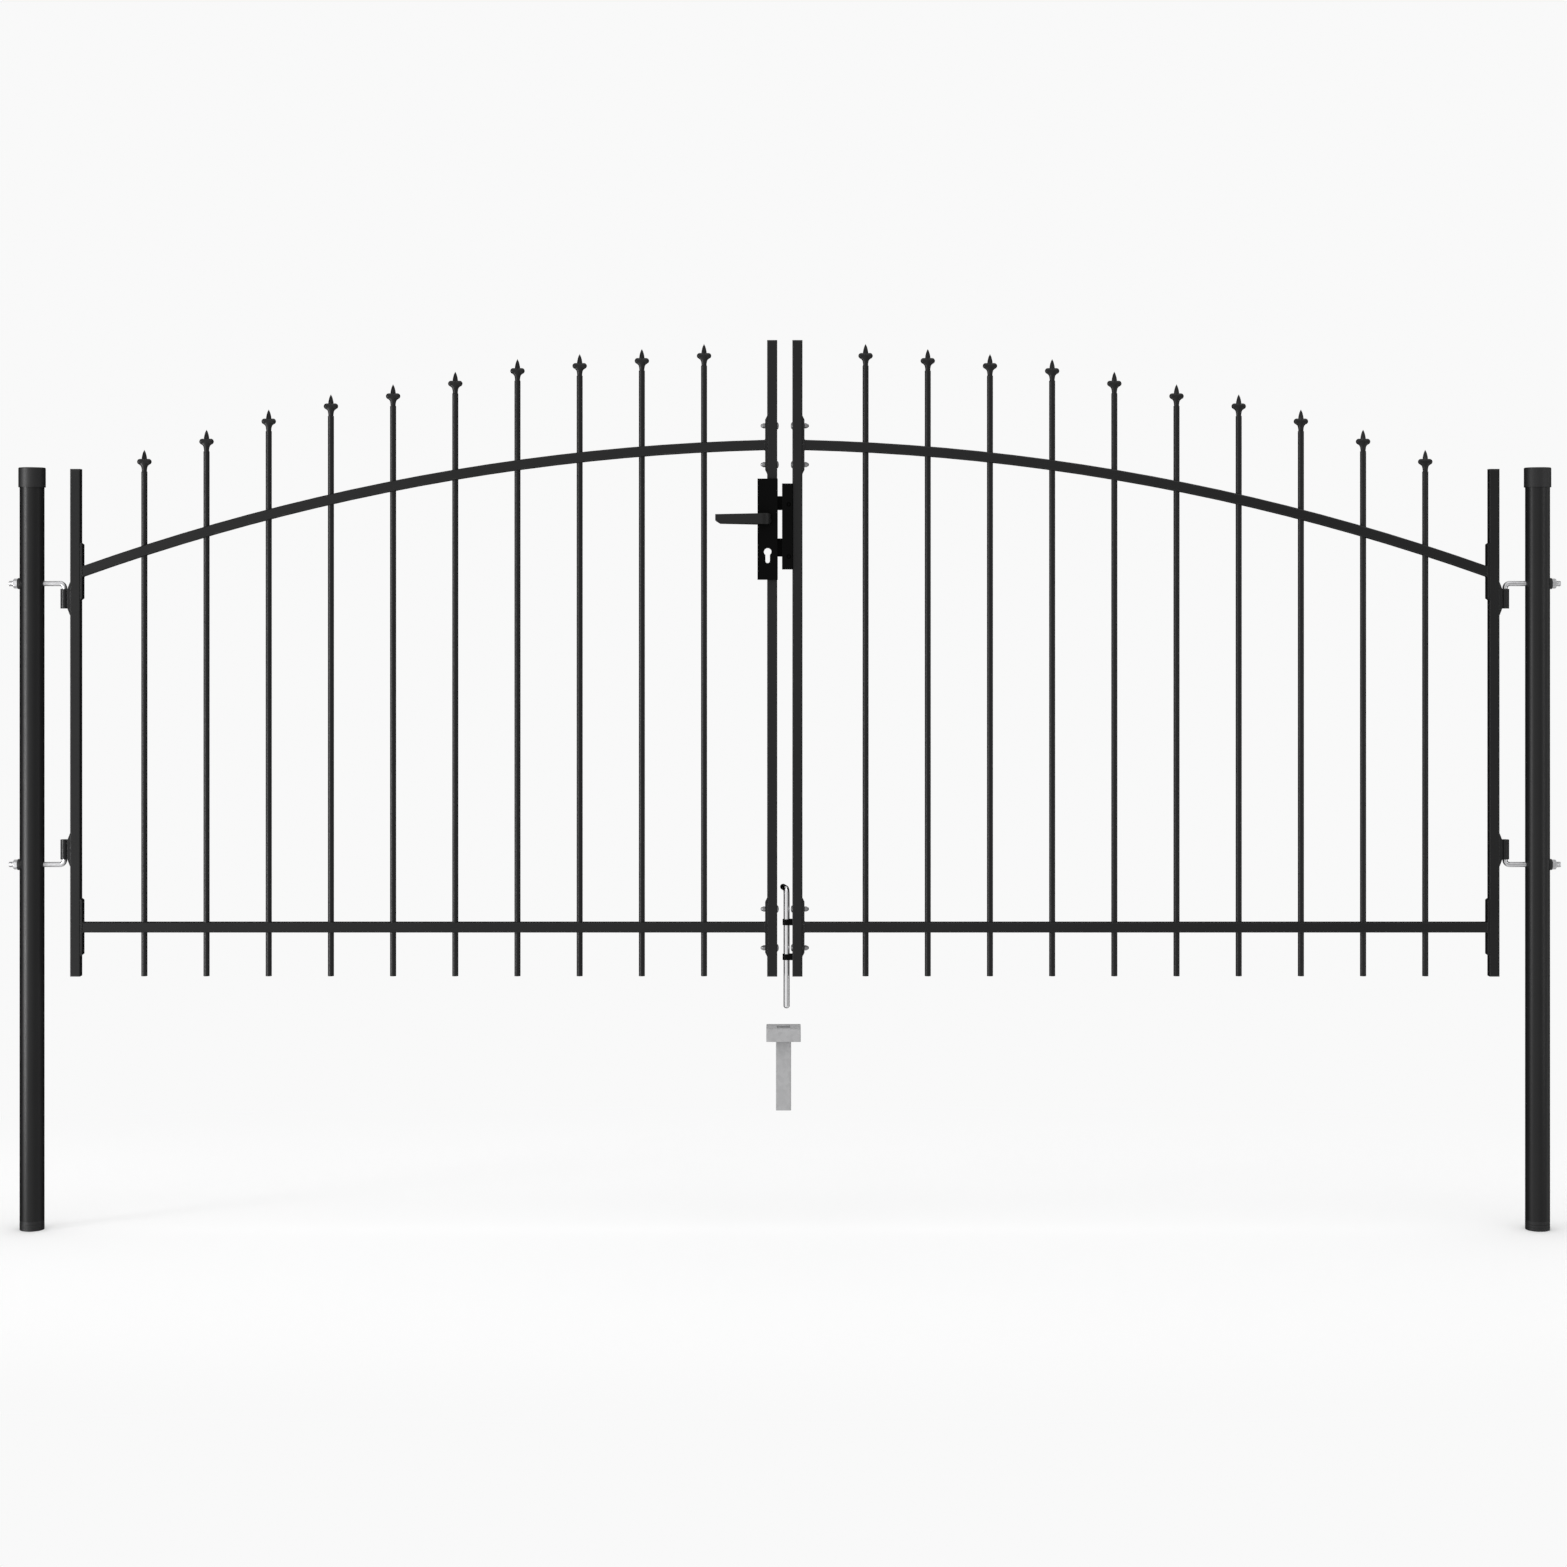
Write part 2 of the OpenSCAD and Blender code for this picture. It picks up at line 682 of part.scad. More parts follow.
// Dead bolt: a square nose, with a tail that passes above the keyhole as it is drawn back
module dead_bolt() {
    top = dead_bolt_z + dead_bolt_h / 2;
    tail_z = keyhole_z + keyhole_d / 2 + keyhole_clear;
    color(lock_black) {
        translate([lock_x1, -dead_bolt_t / 2, top - dead_bolt_h])
            cube([bolt_out, dead_bolt_t, dead_bolt_h]);
        translate([lock_x1 - dead_bolt_tail, -dead_bolt_t / 2, tail_z])
            cube([dead_bolt_tail + bolt_out, dead_bolt_t, top - tail_z]);
    }
}

// Keeper box on the other leaf, with a pocket for each bolt
module keeper() {
    color(lock_black) difference() {
        translate([0, 0, keeper_z0]) linear_extrude(keeper_h) intersection() {
            translate([right_leaf_x0, 0]) rounded_rect(2 * keeper_w, keeper_depth, lock_corner);
            translate([keeper_x0, -keeper_depth / 2]) square([keeper_w, keeper_depth]);
        }
        translate([keeper_x0 + keeper_wall, -keeper_depth / 2 + keeper_wall,
                   keeper_z0 + keeper_wall])
            cube([keeper_w, keeper_depth - 2 * keeper_wall, keeper_h - 2 * keeper_wall]);
        translate([keeper_x0 - eps, -latch_t / 2 - pocket_play,
                   latch_z - latch_h / 2 - pocket_play])
            cube([keeper_w, latch_t + 2 * pocket_play, latch_h + 2 * pocket_play]);
        translate([keeper_x0 - eps, -dead_bolt_t / 2 - pocket_play,
                   dead_bolt_z - dead_bolt_h / 2 - pocket_play])
            cube([keeper_w, dead_bolt_t + 2 * pocket_play, dead_bolt_h + 2 * pocket_play]);
    }
}

// Two guide loops that hold the drop bolt beside the right meeting stile
module bolt_guides() {
    guide_r = drop_r + guide_wall;
    color(lock_black) for (z = guide_levels) translate([0, 0, z - guide_h / 2]) difference() {
        union() {
            translate([drop_x, 0, 0]) cylinder(r = guide_r, h = guide_h);
            translate([drop_x, -guide_r, 0])
                cube([right_leaf_x0 - drop_x, 2 * guide_r, guide_h]);
        }
        translate([drop_x, 0, -eps])
            cylinder(r = drop_r + running_play, h = guide_h + 2 * eps);
    }
}

// Drop bolt: a rod with a domed tip, bent over at the top into its handle
module drop_bolt() {
    straight = drop_bend_z - drop_tip_z;
    tip_flat = 1;
    tip_r = drop_r - tip_flat;
    color(zinc) translate([drop_x, 0, drop_tip_z]) rotate([0, 0, -drop_arm_turn]) {
        rotate_extrude() {
            square([tip_flat, straight]);
            translate([0, tip_r]) square([drop_r, straight - tip_r]);
            intersection() {
                translate([tip_flat, tip_r]) circle(r = tip_r);
                square([drop_r, tip_r]);
            }
        }
        translate([-drop_bend_r, 0, straight]) rotate([90, 0, 0])
            rotate_extrude(angle = 90) translate([drop_bend_r, 0]) circle(r = drop_r);
        translate([-drop_arm, 0, straight + drop_bend_r]) rotate([0, 90, 0])
            cylinder(r = drop_r, h = drop_arm - drop_bend_r);
    }
}

// Ground socket: a sheet head over a square stem that takes the bolt
module ground_socket() {
    well = socket_stem - 2 * socket_wall;
    head_r = 3;
    stem_r = 2.5;
    color(zinc) translate([socket_x, 0, ground_h]) difference() {
        union() {
            translate([0, 0, -socket_head_h]) linear_extrude(socket_head_h)
                rounded_rect(socket_w, socket_w, head_r);
            translate([0, 0, -socket_h]) linear_extrude(socket_h)
                rounded_rect(socket_stem, socket_stem, stem_r);
        }
        difference() {
            translate([0, 0, -socket_head_h - eps])
                linear_extrude(socket_head_h - socket_wall + eps)
                    rounded_rect(socket_w - 2 * socket_wall, socket_w - 2 * socket_wall,
                                 head_r - socket_wall);
            translate([0, 0, -socket_h]) linear_extrude(socket_h)
                rounded_rect(socket_stem, socket_stem, stem_r);
        }
        translate([-well / 2, -well / 2, -socket_h + socket_wall])
            cube([well, well, socket_h + eps]);
    }
}

// Every piece by its own name: the posts and what is fixed to them
module left_post() { color(frame_black) post_tube(); }
module right_post() { color(frame_black) on_right() post_tube(); }
module left_post_cap() { color(plastic_black) post_cap(); }
module right_post_cap() { color(plastic_black) on_right() post_cap(); }
module left_post_foot() { color(plastic_black) post_foot(); }
module right_post_foot() { color(plastic_black) on_right() post_foot(); }
module left_upper_hook() { color(zinc) hook(hook_levels[1], -1); }
module left_lower_hook() { color(zinc) hook(hook_levels[0], 1); }
module right_upper_hook() { color(zinc) on_right() hook(hook_levels[1], -1); }
module right_lower_hook() { color(zinc) on_right() hook(hook_levels[0], 1); }
module hook_saddles() {
    color(plastic_black) {
        saddles();
        on_right() saddles();
    }
}
module hook_nuts() {
    color(zinc) {
        nuts();
        on_right() nuts();
    }
}

// The left leaf's frame
module left_hinge_stile() { hinge_stile(); }
module left_meeting_stile() { lock_side_stile(); }
module left_stile_caps() { stile_caps(); }
module left_arch_rail() { arch_rail(); }
module left_bottom_rail() { bottom_rail(); }
module left_pickets() { pickets(); }
module left_finials() { finials(); }
module left_hinge_flanges() { hinge_flanges(); }
module left_meeting_flanges() { meeting_flanges(); }
module left_flange_bolts() { flange_bolts(); }
module left_upper_barrel() { barrel(barrel_levels[1]); }
module left_lower_barrel() { barrel(barrel_levels[0]); }

// The right leaf's frame
module right_hinge_stile() { on_right() hinge_stile(); }
module right_meeting_stile() { on_right() plain_meeting_stile(); }
module right_stile_caps() { on_right() stile_caps(); }
module right_arch_rail() { on_right() arch_rail(); }
module right_bottom_rail() { on_right() bottom_rail(); }
module right_pickets() { on_right() pickets(); }
module right_finials() { on_right() finials(); }
module right_hinge_flanges() { on_right() hinge_flanges(); }
module right_meeting_flanges() { on_right() meeting_flanges(); }
module right_flange_bolts() { on_right() flange_bolts(); }
module right_upper_barrel() { on_right() barrel(barrel_levels[1]); }
module right_lower_barrel() { on_right() barrel(barrel_levels[0]); }

left_post();
right_post();
left_post_cap();
right_post_cap();
left_post_foot();
right_post_foot();
left_upper_hook();
left_lower_hook();
right_upper_hook();
right_lower_hook();
hook_saddles();
hook_nuts();
ground_socket();
left_hinge_stile();
left_meeting_stile();
left_stile_caps();
left_arch_rail();
left_bottom_rail();
left_pickets();
left_finials();
left_hinge_flanges();
left_meeting_flanges();
left_flange_bolts();
left_upper_barrel();
left_lower_barrel();
right_hinge_stile();
right_meeting_stile();
right_stile_caps();
right_arch_rail();
right_bottom_rail();
right_pickets();
right_finials();
right_hinge_flanges();
right_meeting_flanges();
right_flange_bolts();
right_upper_barrel();
right_lower_barrel();
lock_case();
lever_handle();
latch_bolt();
dead_bolt();
keeper();
bolt_guides();
drop_bolt();
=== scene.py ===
# %% [markdown]
# # A double driveway gate
# Two spear-topped leaves of square steel tube hang on round posts. The solids of every tube,
# hinge and bolt already exist at their real size. This lesson gives them their finishes, adds
# the small fittings that are too fine for the solids, and sets up a plain studio.

# %% Load the gate's solids and note the box they fill
import json
import math
import bpy
from mathutils import Matrix, Vector


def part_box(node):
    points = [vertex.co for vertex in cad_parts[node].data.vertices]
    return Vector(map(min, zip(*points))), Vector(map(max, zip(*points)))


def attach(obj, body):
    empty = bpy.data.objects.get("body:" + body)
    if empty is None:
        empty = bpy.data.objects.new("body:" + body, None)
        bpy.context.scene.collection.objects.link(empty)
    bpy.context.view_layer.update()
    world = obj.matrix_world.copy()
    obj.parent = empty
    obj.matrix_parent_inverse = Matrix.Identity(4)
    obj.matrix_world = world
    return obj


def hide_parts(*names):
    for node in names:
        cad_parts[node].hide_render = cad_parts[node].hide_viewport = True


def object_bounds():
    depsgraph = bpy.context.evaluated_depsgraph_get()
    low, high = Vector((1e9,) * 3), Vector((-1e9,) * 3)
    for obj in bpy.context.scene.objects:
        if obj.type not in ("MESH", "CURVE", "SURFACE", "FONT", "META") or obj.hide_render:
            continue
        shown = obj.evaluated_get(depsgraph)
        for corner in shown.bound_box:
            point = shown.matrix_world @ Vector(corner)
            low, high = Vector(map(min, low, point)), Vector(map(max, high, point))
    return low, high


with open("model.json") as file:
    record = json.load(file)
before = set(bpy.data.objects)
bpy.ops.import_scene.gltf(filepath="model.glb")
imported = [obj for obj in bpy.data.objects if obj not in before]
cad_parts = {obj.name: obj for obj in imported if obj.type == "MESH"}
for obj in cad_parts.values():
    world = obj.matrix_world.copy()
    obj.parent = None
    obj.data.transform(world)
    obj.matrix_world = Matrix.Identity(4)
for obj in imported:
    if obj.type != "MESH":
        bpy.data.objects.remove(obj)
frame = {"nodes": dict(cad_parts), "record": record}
cad_low, cad_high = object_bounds()
print("gate size in metres:", [round(v, 3) for v in cad_high - cad_low])

# %% [markdown]
# ## The camera
# The gate was photographed square on, with the lens slid down so that both posts stay upright.
# Its distance follows from how much shows of the stiles' side faces, and its lens from the
# width of the picture at the gate. Its height is where the flat tops of the rails and the
# post caps stop showing, which lies well above the picture's middle.

# %% Place the camera on the street side
MIDDLE_X = 1.4925
CAMERA_X = 1.4899
DISTANCE = 5.56
PICTURE_WIDTH = 3.107
PICTURE_MIDDLE_Z = 0.8831
EYE_Z = 1.267
camera_data = bpy.data.cameras.new("photo camera")
camera_data.sensor_width = 36.0
camera_data.lens = 36.0 * DISTANCE / PICTURE_WIDTH
camera_data.shift_y = (PICTURE_MIDDLE_Z - EYE_Z) / PICTURE_WIDTH
camera = bpy.data.objects.new("photo camera", camera_data)
camera.location = (CAMERA_X, -DISTANCE, EYE_Z)
camera.rotation_euler = (math.radians(90), 0, 0)
bpy.context.scene.collection.objects.link(camera)
bpy.context.scene.camera = camera
print("lens in mm:", round(camera_data.lens, 1), "slid down by", round(camera_data.shift_y, 3))

# %% [markdown]
# ## Helpers for materials
# A finish is a small graph of nodes. Three short helpers keep each graph readable: one makes a
# node with its settings, one joins two sockets, and one makes a group with named sockets, so
# that the same effect can be placed in many finishes with other values.

# %% Node helpers
def node(tree, kind, **settings):
    made = tree.nodes.new(kind)
    for key, value in settings.items():
        if hasattr(made, key):
            setattr(made, key, value)
        else:
            made.inputs[key.replace("_", " ")].default_value = value
    return made


def wire(tree, *pairs):
    for source, target in pairs:
        tree.links.new(source, target)


def effect_group(name, inputs, outputs):
    tree = bpy.data.node_groups.new(name, "ShaderNodeTree")
    for label, kind, start in inputs:
        socket = tree.interface.new_socket(label, in_out="INPUT", socket_type=kind)
        socket.default_value = start
    for label, kind in outputs:
        tree.interface.new_socket(label, in_out="OUTPUT", socket_type=kind)
    return tree, tree.nodes.new("NodeGroupInput"), tree.nodes.new("NodeGroupOutput")


def place_group(tree, group, **values):
    placed = node(tree, "ShaderNodeGroup", node_tree=group)
    for key, value in values.items():
        placed.inputs[key.replace("_", " ")].default_value = value
    return placed


FLOAT, COLOR, VECTOR = "NodeSocketFloat", "NodeSocketColor", "NodeSocketVector"

# %% [markdown]
# ## Orange peel
# Powder coat melts into a skin with shallow, even bumps about two millimetres apart. It also
# flows a little thicker here and thinner there, which shows as a slow change of tone. Two
# noises make the height, and one slow noise makes the tone.

# %% The orange-peel group
peel, peel_in, peel_out = effect_group(
    "Orange peel",
    [("Bump Size", FLOAT, 0.0022), ("Patch Size", FLOAT, 0.2)],
    [("Height", FLOAT), ("Tone", FLOAT)],
)
place = node(peel, "ShaderNodeTexCoord")
per_bump = node(peel, "ShaderNodeMath", operation="DIVIDE")
per_bump.inputs[0].default_value = 1.0
per_patch = node(peel, "ShaderNodeMath", operation="DIVIDE")
per_patch.inputs[0].default_value = 1.0
bumps = node(peel, "ShaderNodeTexNoise", Detail=1.0, Roughness=0.4)
specks = node(peel, "ShaderNodeTexNoise", Detail=0.0)
patches = node(peel, "ShaderNodeTexNoise", Detail=3.0, Roughness=0.55)
finer = node(peel, "ShaderNodeMath", operation="MULTIPLY")
finer.inputs[1].default_value = 3.3
both = node(peel, "ShaderNodeMath", operation="MULTIPLY_ADD")
both.inputs[1].default_value = 0.25
wire(
    peel,
    (peel_in.outputs["Bump Size"], per_bump.inputs[1]),
    (peel_in.outputs["Patch Size"], per_patch.inputs[1]),
    (per_bump.outputs[0], bumps.inputs["Scale"]),
    (per_bump.outputs[0], finer.inputs[0]),
    (finer.outputs[0], specks.inputs["Scale"]),
    (per_patch.outputs[0], patches.inputs["Scale"]),
    (place.outputs["Object"], bumps.inputs["Vector"]),
    (place.outputs["Object"], specks.inputs["Vector"]),
    (place.outputs["Object"], patches.inputs["Vector"]),
    (specks.outputs["Fac"], both.inputs[0]),
    (bumps.outputs["Fac"], both.inputs[2]),
    (both.outputs[0], peel_out.inputs["Height"]),
    (patches.outputs["Fac"], peel_out.inputs["Tone"]),
)
print("groups so far:", [g.name for g in bpy.data.node_groups])

# %% [markdown]
# ## Rounded and rubbed edges
# No edge of a coated tube is knife sharp, and the coat is thinnest there, so it dulls and
# greys first. The Bevel node gives the normal that a rounded edge would have. Where it differs
# from the flat normal there is an edge, and that difference is the rub mask.

# %% The edge group
edges, edges_in, edges_out = effect_group(
    "Rubbed edges",
    [("Edge Radius", FLOAT, 0.0008), ("Strength", FLOAT, 6.0)],
    [("Mask", FLOAT), ("Normal", VECTOR)],
)
rounded = node(edges, "ShaderNodeBevel", samples=4)
flat = node(edges, "ShaderNodeNewGeometry")
likeness = node(edges, "ShaderNodeVectorMath", operation="DOT_PRODUCT")
unlike = node(edges, "ShaderNodeMath", operation="SUBTRACT", use_clamp=True)
unlike.inputs[0].default_value = 0.97
scuffs = node(edges, "ShaderNodeTexNoise", Scale=60.0, Detail=4.0)
stronger = node(edges, "ShaderNodeMath", operation="MULTIPLY")
broken = node(edges, "ShaderNodeMath", operation="MULTIPLY", use_clamp=True)
edge_place = node(edges, "ShaderNodeTexCoord")
wire(
    edges,
    (edges_in.outputs["Edge Radius"], rounded.inputs["Radius"]),
    (rounded.outputs["Normal"], likeness.inputs[0]),
    (flat.outputs["Normal"], likeness.inputs[1]),
    (likeness.outputs["Value"], unlike.inputs[1]),
    (unlike.outputs[0], stronger.inputs[0]),
    (edges_in.outputs["Strength"], stronger.inputs[1]),
    (edge_place.outputs["Object"], scuffs.inputs["Vector"]),
    (stronger.outputs[0], broken.inputs[0]),
    (scuffs.outputs["Fac"], broken.inputs[1]),
    (broken.outputs[0], edges_out.inputs["Mask"]),
    (rounded.outputs["Normal"], edges_out.inputs["Normal"]),
)
print("edge group has", len(edges.nodes), "nodes")

# %% [markdown]
# ## Dust
# Fine grey dust settles on faces that look up. The mask takes the upward part of the normal,
# keeps only what is nearly level, and breaks it up with noise.

# %% The dust group
dust, dust_in, dust_out = effect_group(
    "Settled dust", [("Amount", FLOAT, 0.3)], [("Mask", FLOAT)]
)
facing = node(dust, "ShaderNodeNewGeometry")
parts = node(dust, "ShaderNodeSeparateXYZ")
level = node(dust, "ShaderNodeMapRange", interpolation_type="SMOOTHSTEP")
level.inputs["From Min"].default_value = 0.55
level.inputs["From Max"].default_value = 1.0
cloud = node(dust, "ShaderNodeTexNoise", Scale=35.0, Detail=5.0, Roughness=0.65)
dust_place = node(dust, "ShaderNodeTexCoord")
patchy = node(dust, "ShaderNodeMath", operation="MULTIPLY")
scaled = node(dust, "ShaderNodeMath", operation="MULTIPLY", use_clamp=True)
wire(
    dust,
    (facing.outputs["Normal"], parts.inputs[0]),
    (parts.outputs["Z"], level.inputs["Value"]),
    (dust_place.outputs["Object"], cloud.inputs["Vector"]),
    (level.outputs[0], patchy.inputs[0]),
    (cloud.outputs["Fac"], patchy.inputs[1]),
    (patchy.outputs[0], scaled.inputs[0]),
    (dust_in.outputs["Amount"], scaled.inputs[1]),
    (scaled.outputs[0], dust_out.inputs["Mask"]),
)
print("dust group has", len(dust.nodes), "nodes")

# %% [markdown]
# ## Zinc crystals
# Hot-dip zinc freezes in flat crystals, each a little lighter or duller than the next.
# Bright plating has the same make-up on a much finer scale. Voronoi cells give each crystal
# one tone, and a soft noise keeps the cells from looking cut out.

# %% The zinc group
zinc_group, zinc_in, zinc_out = effect_group(
    "Zinc crystals",
    [("Crystal Size", FLOAT, 0.006), ("Dark", COLOR, (0.3, 0.3, 0.31, 1)),
     ("Light", COLOR, (0.5, 0.5, 0.51, 1)), ("Smoothest", FLOAT, 0.3), ("Roughest", FLOAT, 0.5)],
    [("Color", COLOR), ("Roughness", FLOAT), ("Height", FLOAT)],
)
zinc_place = node(zinc_group, "ShaderNodeTexCoord")
per_crystal = node(zinc_group, "ShaderNodeMath", operation="DIVIDE")
per_crystal.inputs[0].default_value = 1.0
wobble = node(zinc_group, "ShaderNodeTexNoise", Scale=90.0, Detail=2.0)
shift = node(zinc_group, "ShaderNodeVectorMath", operation="MULTIPLY_ADD")
shift.inputs[1].default_value = (0.004, 0.004, 0.004)
crystals = node(zinc_group, "ShaderNodeTexVoronoi", feature="F1")
crystal_tone = node(zinc_group, "ShaderNodeSeparateColor")
bloom = node(zinc_group, "ShaderNodeTexNoise", Scale=14.0, Detail=5.0, Roughness=0.6)
tone = node(zinc_group, "ShaderNodeMix", data_type="FLOAT")
tone.inputs["Factor"].default_value = 0.55
zinc_color = node(zinc_group, "ShaderNodeMix", data_type="RGBA")
zinc_rough = node(zinc_group, "ShaderNodeMix", data_type="FLOAT")
wire(
    zinc_group,
    (zinc_in.outputs["Crystal Size"], per_crystal.inputs[1]),
    (zinc_place.outputs["Object"], wobble.inputs["Vector"]),
    (wobble.outputs["Color"], shift.inputs[0]),
    (zinc_place.outputs["Object"], shift.inputs[2]),
    (shift.outputs[0], crystals.inputs["Vector"]),
    (per_crystal.outputs[0], crystals.inputs["Scale"]),
    (crystals.outputs["Color"], crystal_tone.inputs[0]),
    (zinc_place.outputs["Object"], bloom.inputs["Vector"]),
    (crystal_tone.outputs[0], tone.inputs[2]),
    (bloom.outputs["Fac"], tone.inputs[3]),
    (tone.outputs[0], zinc_color.inputs[0]),
    (zinc_in.outputs["Dark"], zinc_color.inputs[6]),
    (zinc_in.outputs["Light"], zinc_color.inputs[7]),
    (tone.outputs[0], zinc_rough.inputs[0]),
    (zinc_in.outputs["Smoothest"], zinc_rough.inputs[2]),
    (zinc_in.outputs["Roughest"], zinc_rough.inputs[3]),
    (zinc_color.outputs[2], zinc_out.inputs["Color"]),
    (zinc_rough.outputs[0], zinc_out.inputs["Roughness"]),
    (tone.outputs[0], zinc_out.inputs["Height"]),
)
print("zinc group has", len(zinc_group.nodes), "nodes")

# %% [markdown]
# ## The black finishes
# The frame has a satin powder coat, the lock is smoother and deeper black, and the caps are
# moulded plastic with a fine grain. All three share one recipe with other values: a nearly
# black colour, a lift of grey on rubbed edges and under dust, and the peel as the bump.

# %% A black coat with its own values
def black_coat(name, deep, worn, gloss, bump_size, bump_depth, edge_radius, shine, dust_amount):
    made = bpy.data.materials.new(name)
    made.use_nodes = True
    tree = made.node_tree
    shader = tree.nodes["Principled BSDF"]
    shader.inputs["Specular IOR Level"].default_value = shine
    skin = place_group(tree, peel, Bump_Size=bump_size)
    rub = place_group(tree, edges, Edge_Radius=edge_radius)
    film = place_group(tree, dust, Amount=dust_amount)
    mottle = node(tree, "ShaderNodeMapRange")
    mottle.inputs["To Min"].default_value = 0.75
    mottle.inputs["To Max"].default_value = 1.3
    base = node(tree, "ShaderNodeMix", data_type="RGBA", blend_type="MULTIPLY")
    base.inputs["Factor"].default_value = 1.0
    base.inputs[6].default_value = (*deep, 1)
    rubbed = node(tree, "ShaderNodeMix", data_type="RGBA")
    rubbed.inputs[7].default_value = (*worn, 1)
    dusty = node(tree, "ShaderNodeMix", data_type="RGBA")
    dusty.inputs[7].default_value = (0.16, 0.155, 0.145, 1)
    rough = node(tree, "ShaderNodeMapRange")
    rough.inputs["To Min"].default_value = gloss[0]
    rough.inputs["To Max"].default_value = gloss[1]
    bump = node(tree, "ShaderNodeBump", Strength=1.0, Distance=bump_depth)
    wire(
        tree,
        (skin.outputs["Tone"], mottle.inputs["Value"]),
        (mottle.outputs[0], base.inputs[7]),
        (base.outputs[2], rubbed.inputs[6]),
        (rub.outputs["Mask"], rubbed.inputs[0]),
        (rubbed.outputs[2], dusty.inputs[6]),
        (film.outputs["Mask"], dusty.inputs[0]),
        (dusty.outputs[2], shader.inputs["Base Color"]),
        (skin.outputs["Tone"], rough.inputs["Value"]),
        (rough.outputs[0], shader.inputs["Roughness"]),
        (skin.outputs["Height"], bump.inputs["Height"]),
        (rub.outputs["Normal"], bump.inputs["Normal"]),
        (bump.outputs[0], shader.inputs["Normal"]),
    )
    return made


frame_black = black_coat(
    "frame powder coat", (0.0075, 0.0075, 0.0078), (0.025, 0.025, 0.026), (0.34, 0.44),
    0.0022, 0.00001, 0.0009, 0.25, 0.08)
lock_black = black_coat(
    "lock powder coat", (0.0014, 0.0014, 0.0014), (0.01, 0.01, 0.01), (0.42, 0.56),
    0.0016, 0.00004, 0.0008, 0.045, 0.15)
lever_black = black_coat(
    "lever coat", (0.007, 0.007, 0.007), (0.02, 0.02, 0.02), (0.3, 0.42),
    0.0014, 0.00003, 0.0012, 0.27, 0.2)
plastic_black = black_coat(
    "moulded plastic", (0.009, 0.009, 0.0095), (0.02, 0.02, 0.02), (0.44, 0.6),
    0.0006, 0.00003, 0.0007, 0.36, 0.15)
print("black finishes:", frame_black.name, lock_black.name, lever_black.name, plastic_black.name)

# %% [markdown]
# ## The zinc finishes
# The ground socket is hot-dip galvanised: dull, with crystals that show. The hooks, nuts and
# bolts are electroplated and brighter, and the drop bolt is drawn bar with a plated skin. The
# small flange bolts have lost their shine, so they get a darker plating.

# %% A zinc coat with its own values
def zinc_coat(name, metal, crystal, dark, light, smoothest, roughest, bump_depth, edge_radius):
    made = bpy.data.materials.new(name)
    made.use_nodes = True
    tree = made.node_tree
    shader = tree.nodes["Principled BSDF"]
    shader.inputs["Metallic"].default_value = metal
    skin = place_group(tree, zinc_group, Crystal_Size=crystal, Dark=(*dark, 1), Light=(*light, 1),
                       Smoothest=smoothest, Roughest=roughest)
    rub = place_group(tree, edges, Edge_Radius=edge_radius)
    bright = node(tree, "ShaderNodeMix", data_type="RGBA")
    bright.inputs[7].default_value = (0.62, 0.62, 0.63, 1)
    bump = node(tree, "ShaderNodeBump", Strength=1.0, Distance=bump_depth)
    wire(
        tree,
        (skin.outputs["Color"], bright.inputs[6]),
        (rub.outputs["Mask"], bright.inputs[0]),
        (bright.outputs[2], shader.inputs["Base Color"]),
        (skin.outputs["Roughness"], shader.inputs["Roughness"]),
        (skin.outputs["Height"], bump.inputs["Height"]),
        (rub.outputs["Normal"], bump.inputs["Normal"]),
        (bump.outputs[0], shader.inputs["Normal"]),
    )
    return made


galvanised = zinc_coat("hot-dip zinc", 0.1, 0.007, (0.34, 0.34, 0.345), (0.45, 0.45, 0.455),
                       0.5, 0.65, 0.00003, 0.0012)
galvanised.node_tree.nodes["Principled BSDF"].inputs["Specular IOR Level"].default_value = 0.1
plated = zinc_coat("plated zinc", 1.0, 0.0012, (0.5, 0.5, 0.51), (0.62, 0.62, 0.63),
                   0.3, 0.4, 0.00001, 0.0006)
drawn = zinc_coat("drawn plated bar", 1.0, 0.0008, (0.74, 0.74, 0.75), (0.84, 0.84, 0.85),
                  0.2, 0.26, 0.000002, 0.0006)
dulled = zinc_coat("dulled plating", 1.0, 0.0012, (0.22, 0.22, 0.225), (0.32, 0.32, 0.325),
                   0.3, 0.42, 0.00001, 0.0004)
print("zinc finishes:", galvanised.name, plated.name, drawn.name, dulled.name)

# %% [markdown]
# ## Dress the solids
# Each solid is one named piece. Its record already says which finish it has, so most of the
# work is one table. The lever, the socket and the drop bolt get a finish of their own.

# %% Give every solid its finish
finish_of_slot = {"frame_black": frame_black, "lock_black": lock_black,
                  "plastic_black": plastic_black, "zinc": plated}
own_finish = {"lever_handle": lever_black, "ground_socket": galvanised, "drop_bolt": drawn}
slot_of = {p["node"]: p["material_slot"] for p in frame["record"]["subparts"]}
for name, solid in frame["nodes"].items():
    finish = own_finish.get(name, finish_of_slot[slot_of[name]])
    for slot in solid.material_slots:
        slot.material = finish
print("dressed", len(frame["nodes"]), "solids")

# %% [markdown]
# ## Helpers for meshes
# The fittings are turned, threaded or welded, so nearly all of them can be built from rings
# of points joined into a skin. A Skin collects rings and keeps them as one mesh. A frame of
# three axes turns each ring to where the fitting sits.

# %% Skins made of rings
mm = 0.001


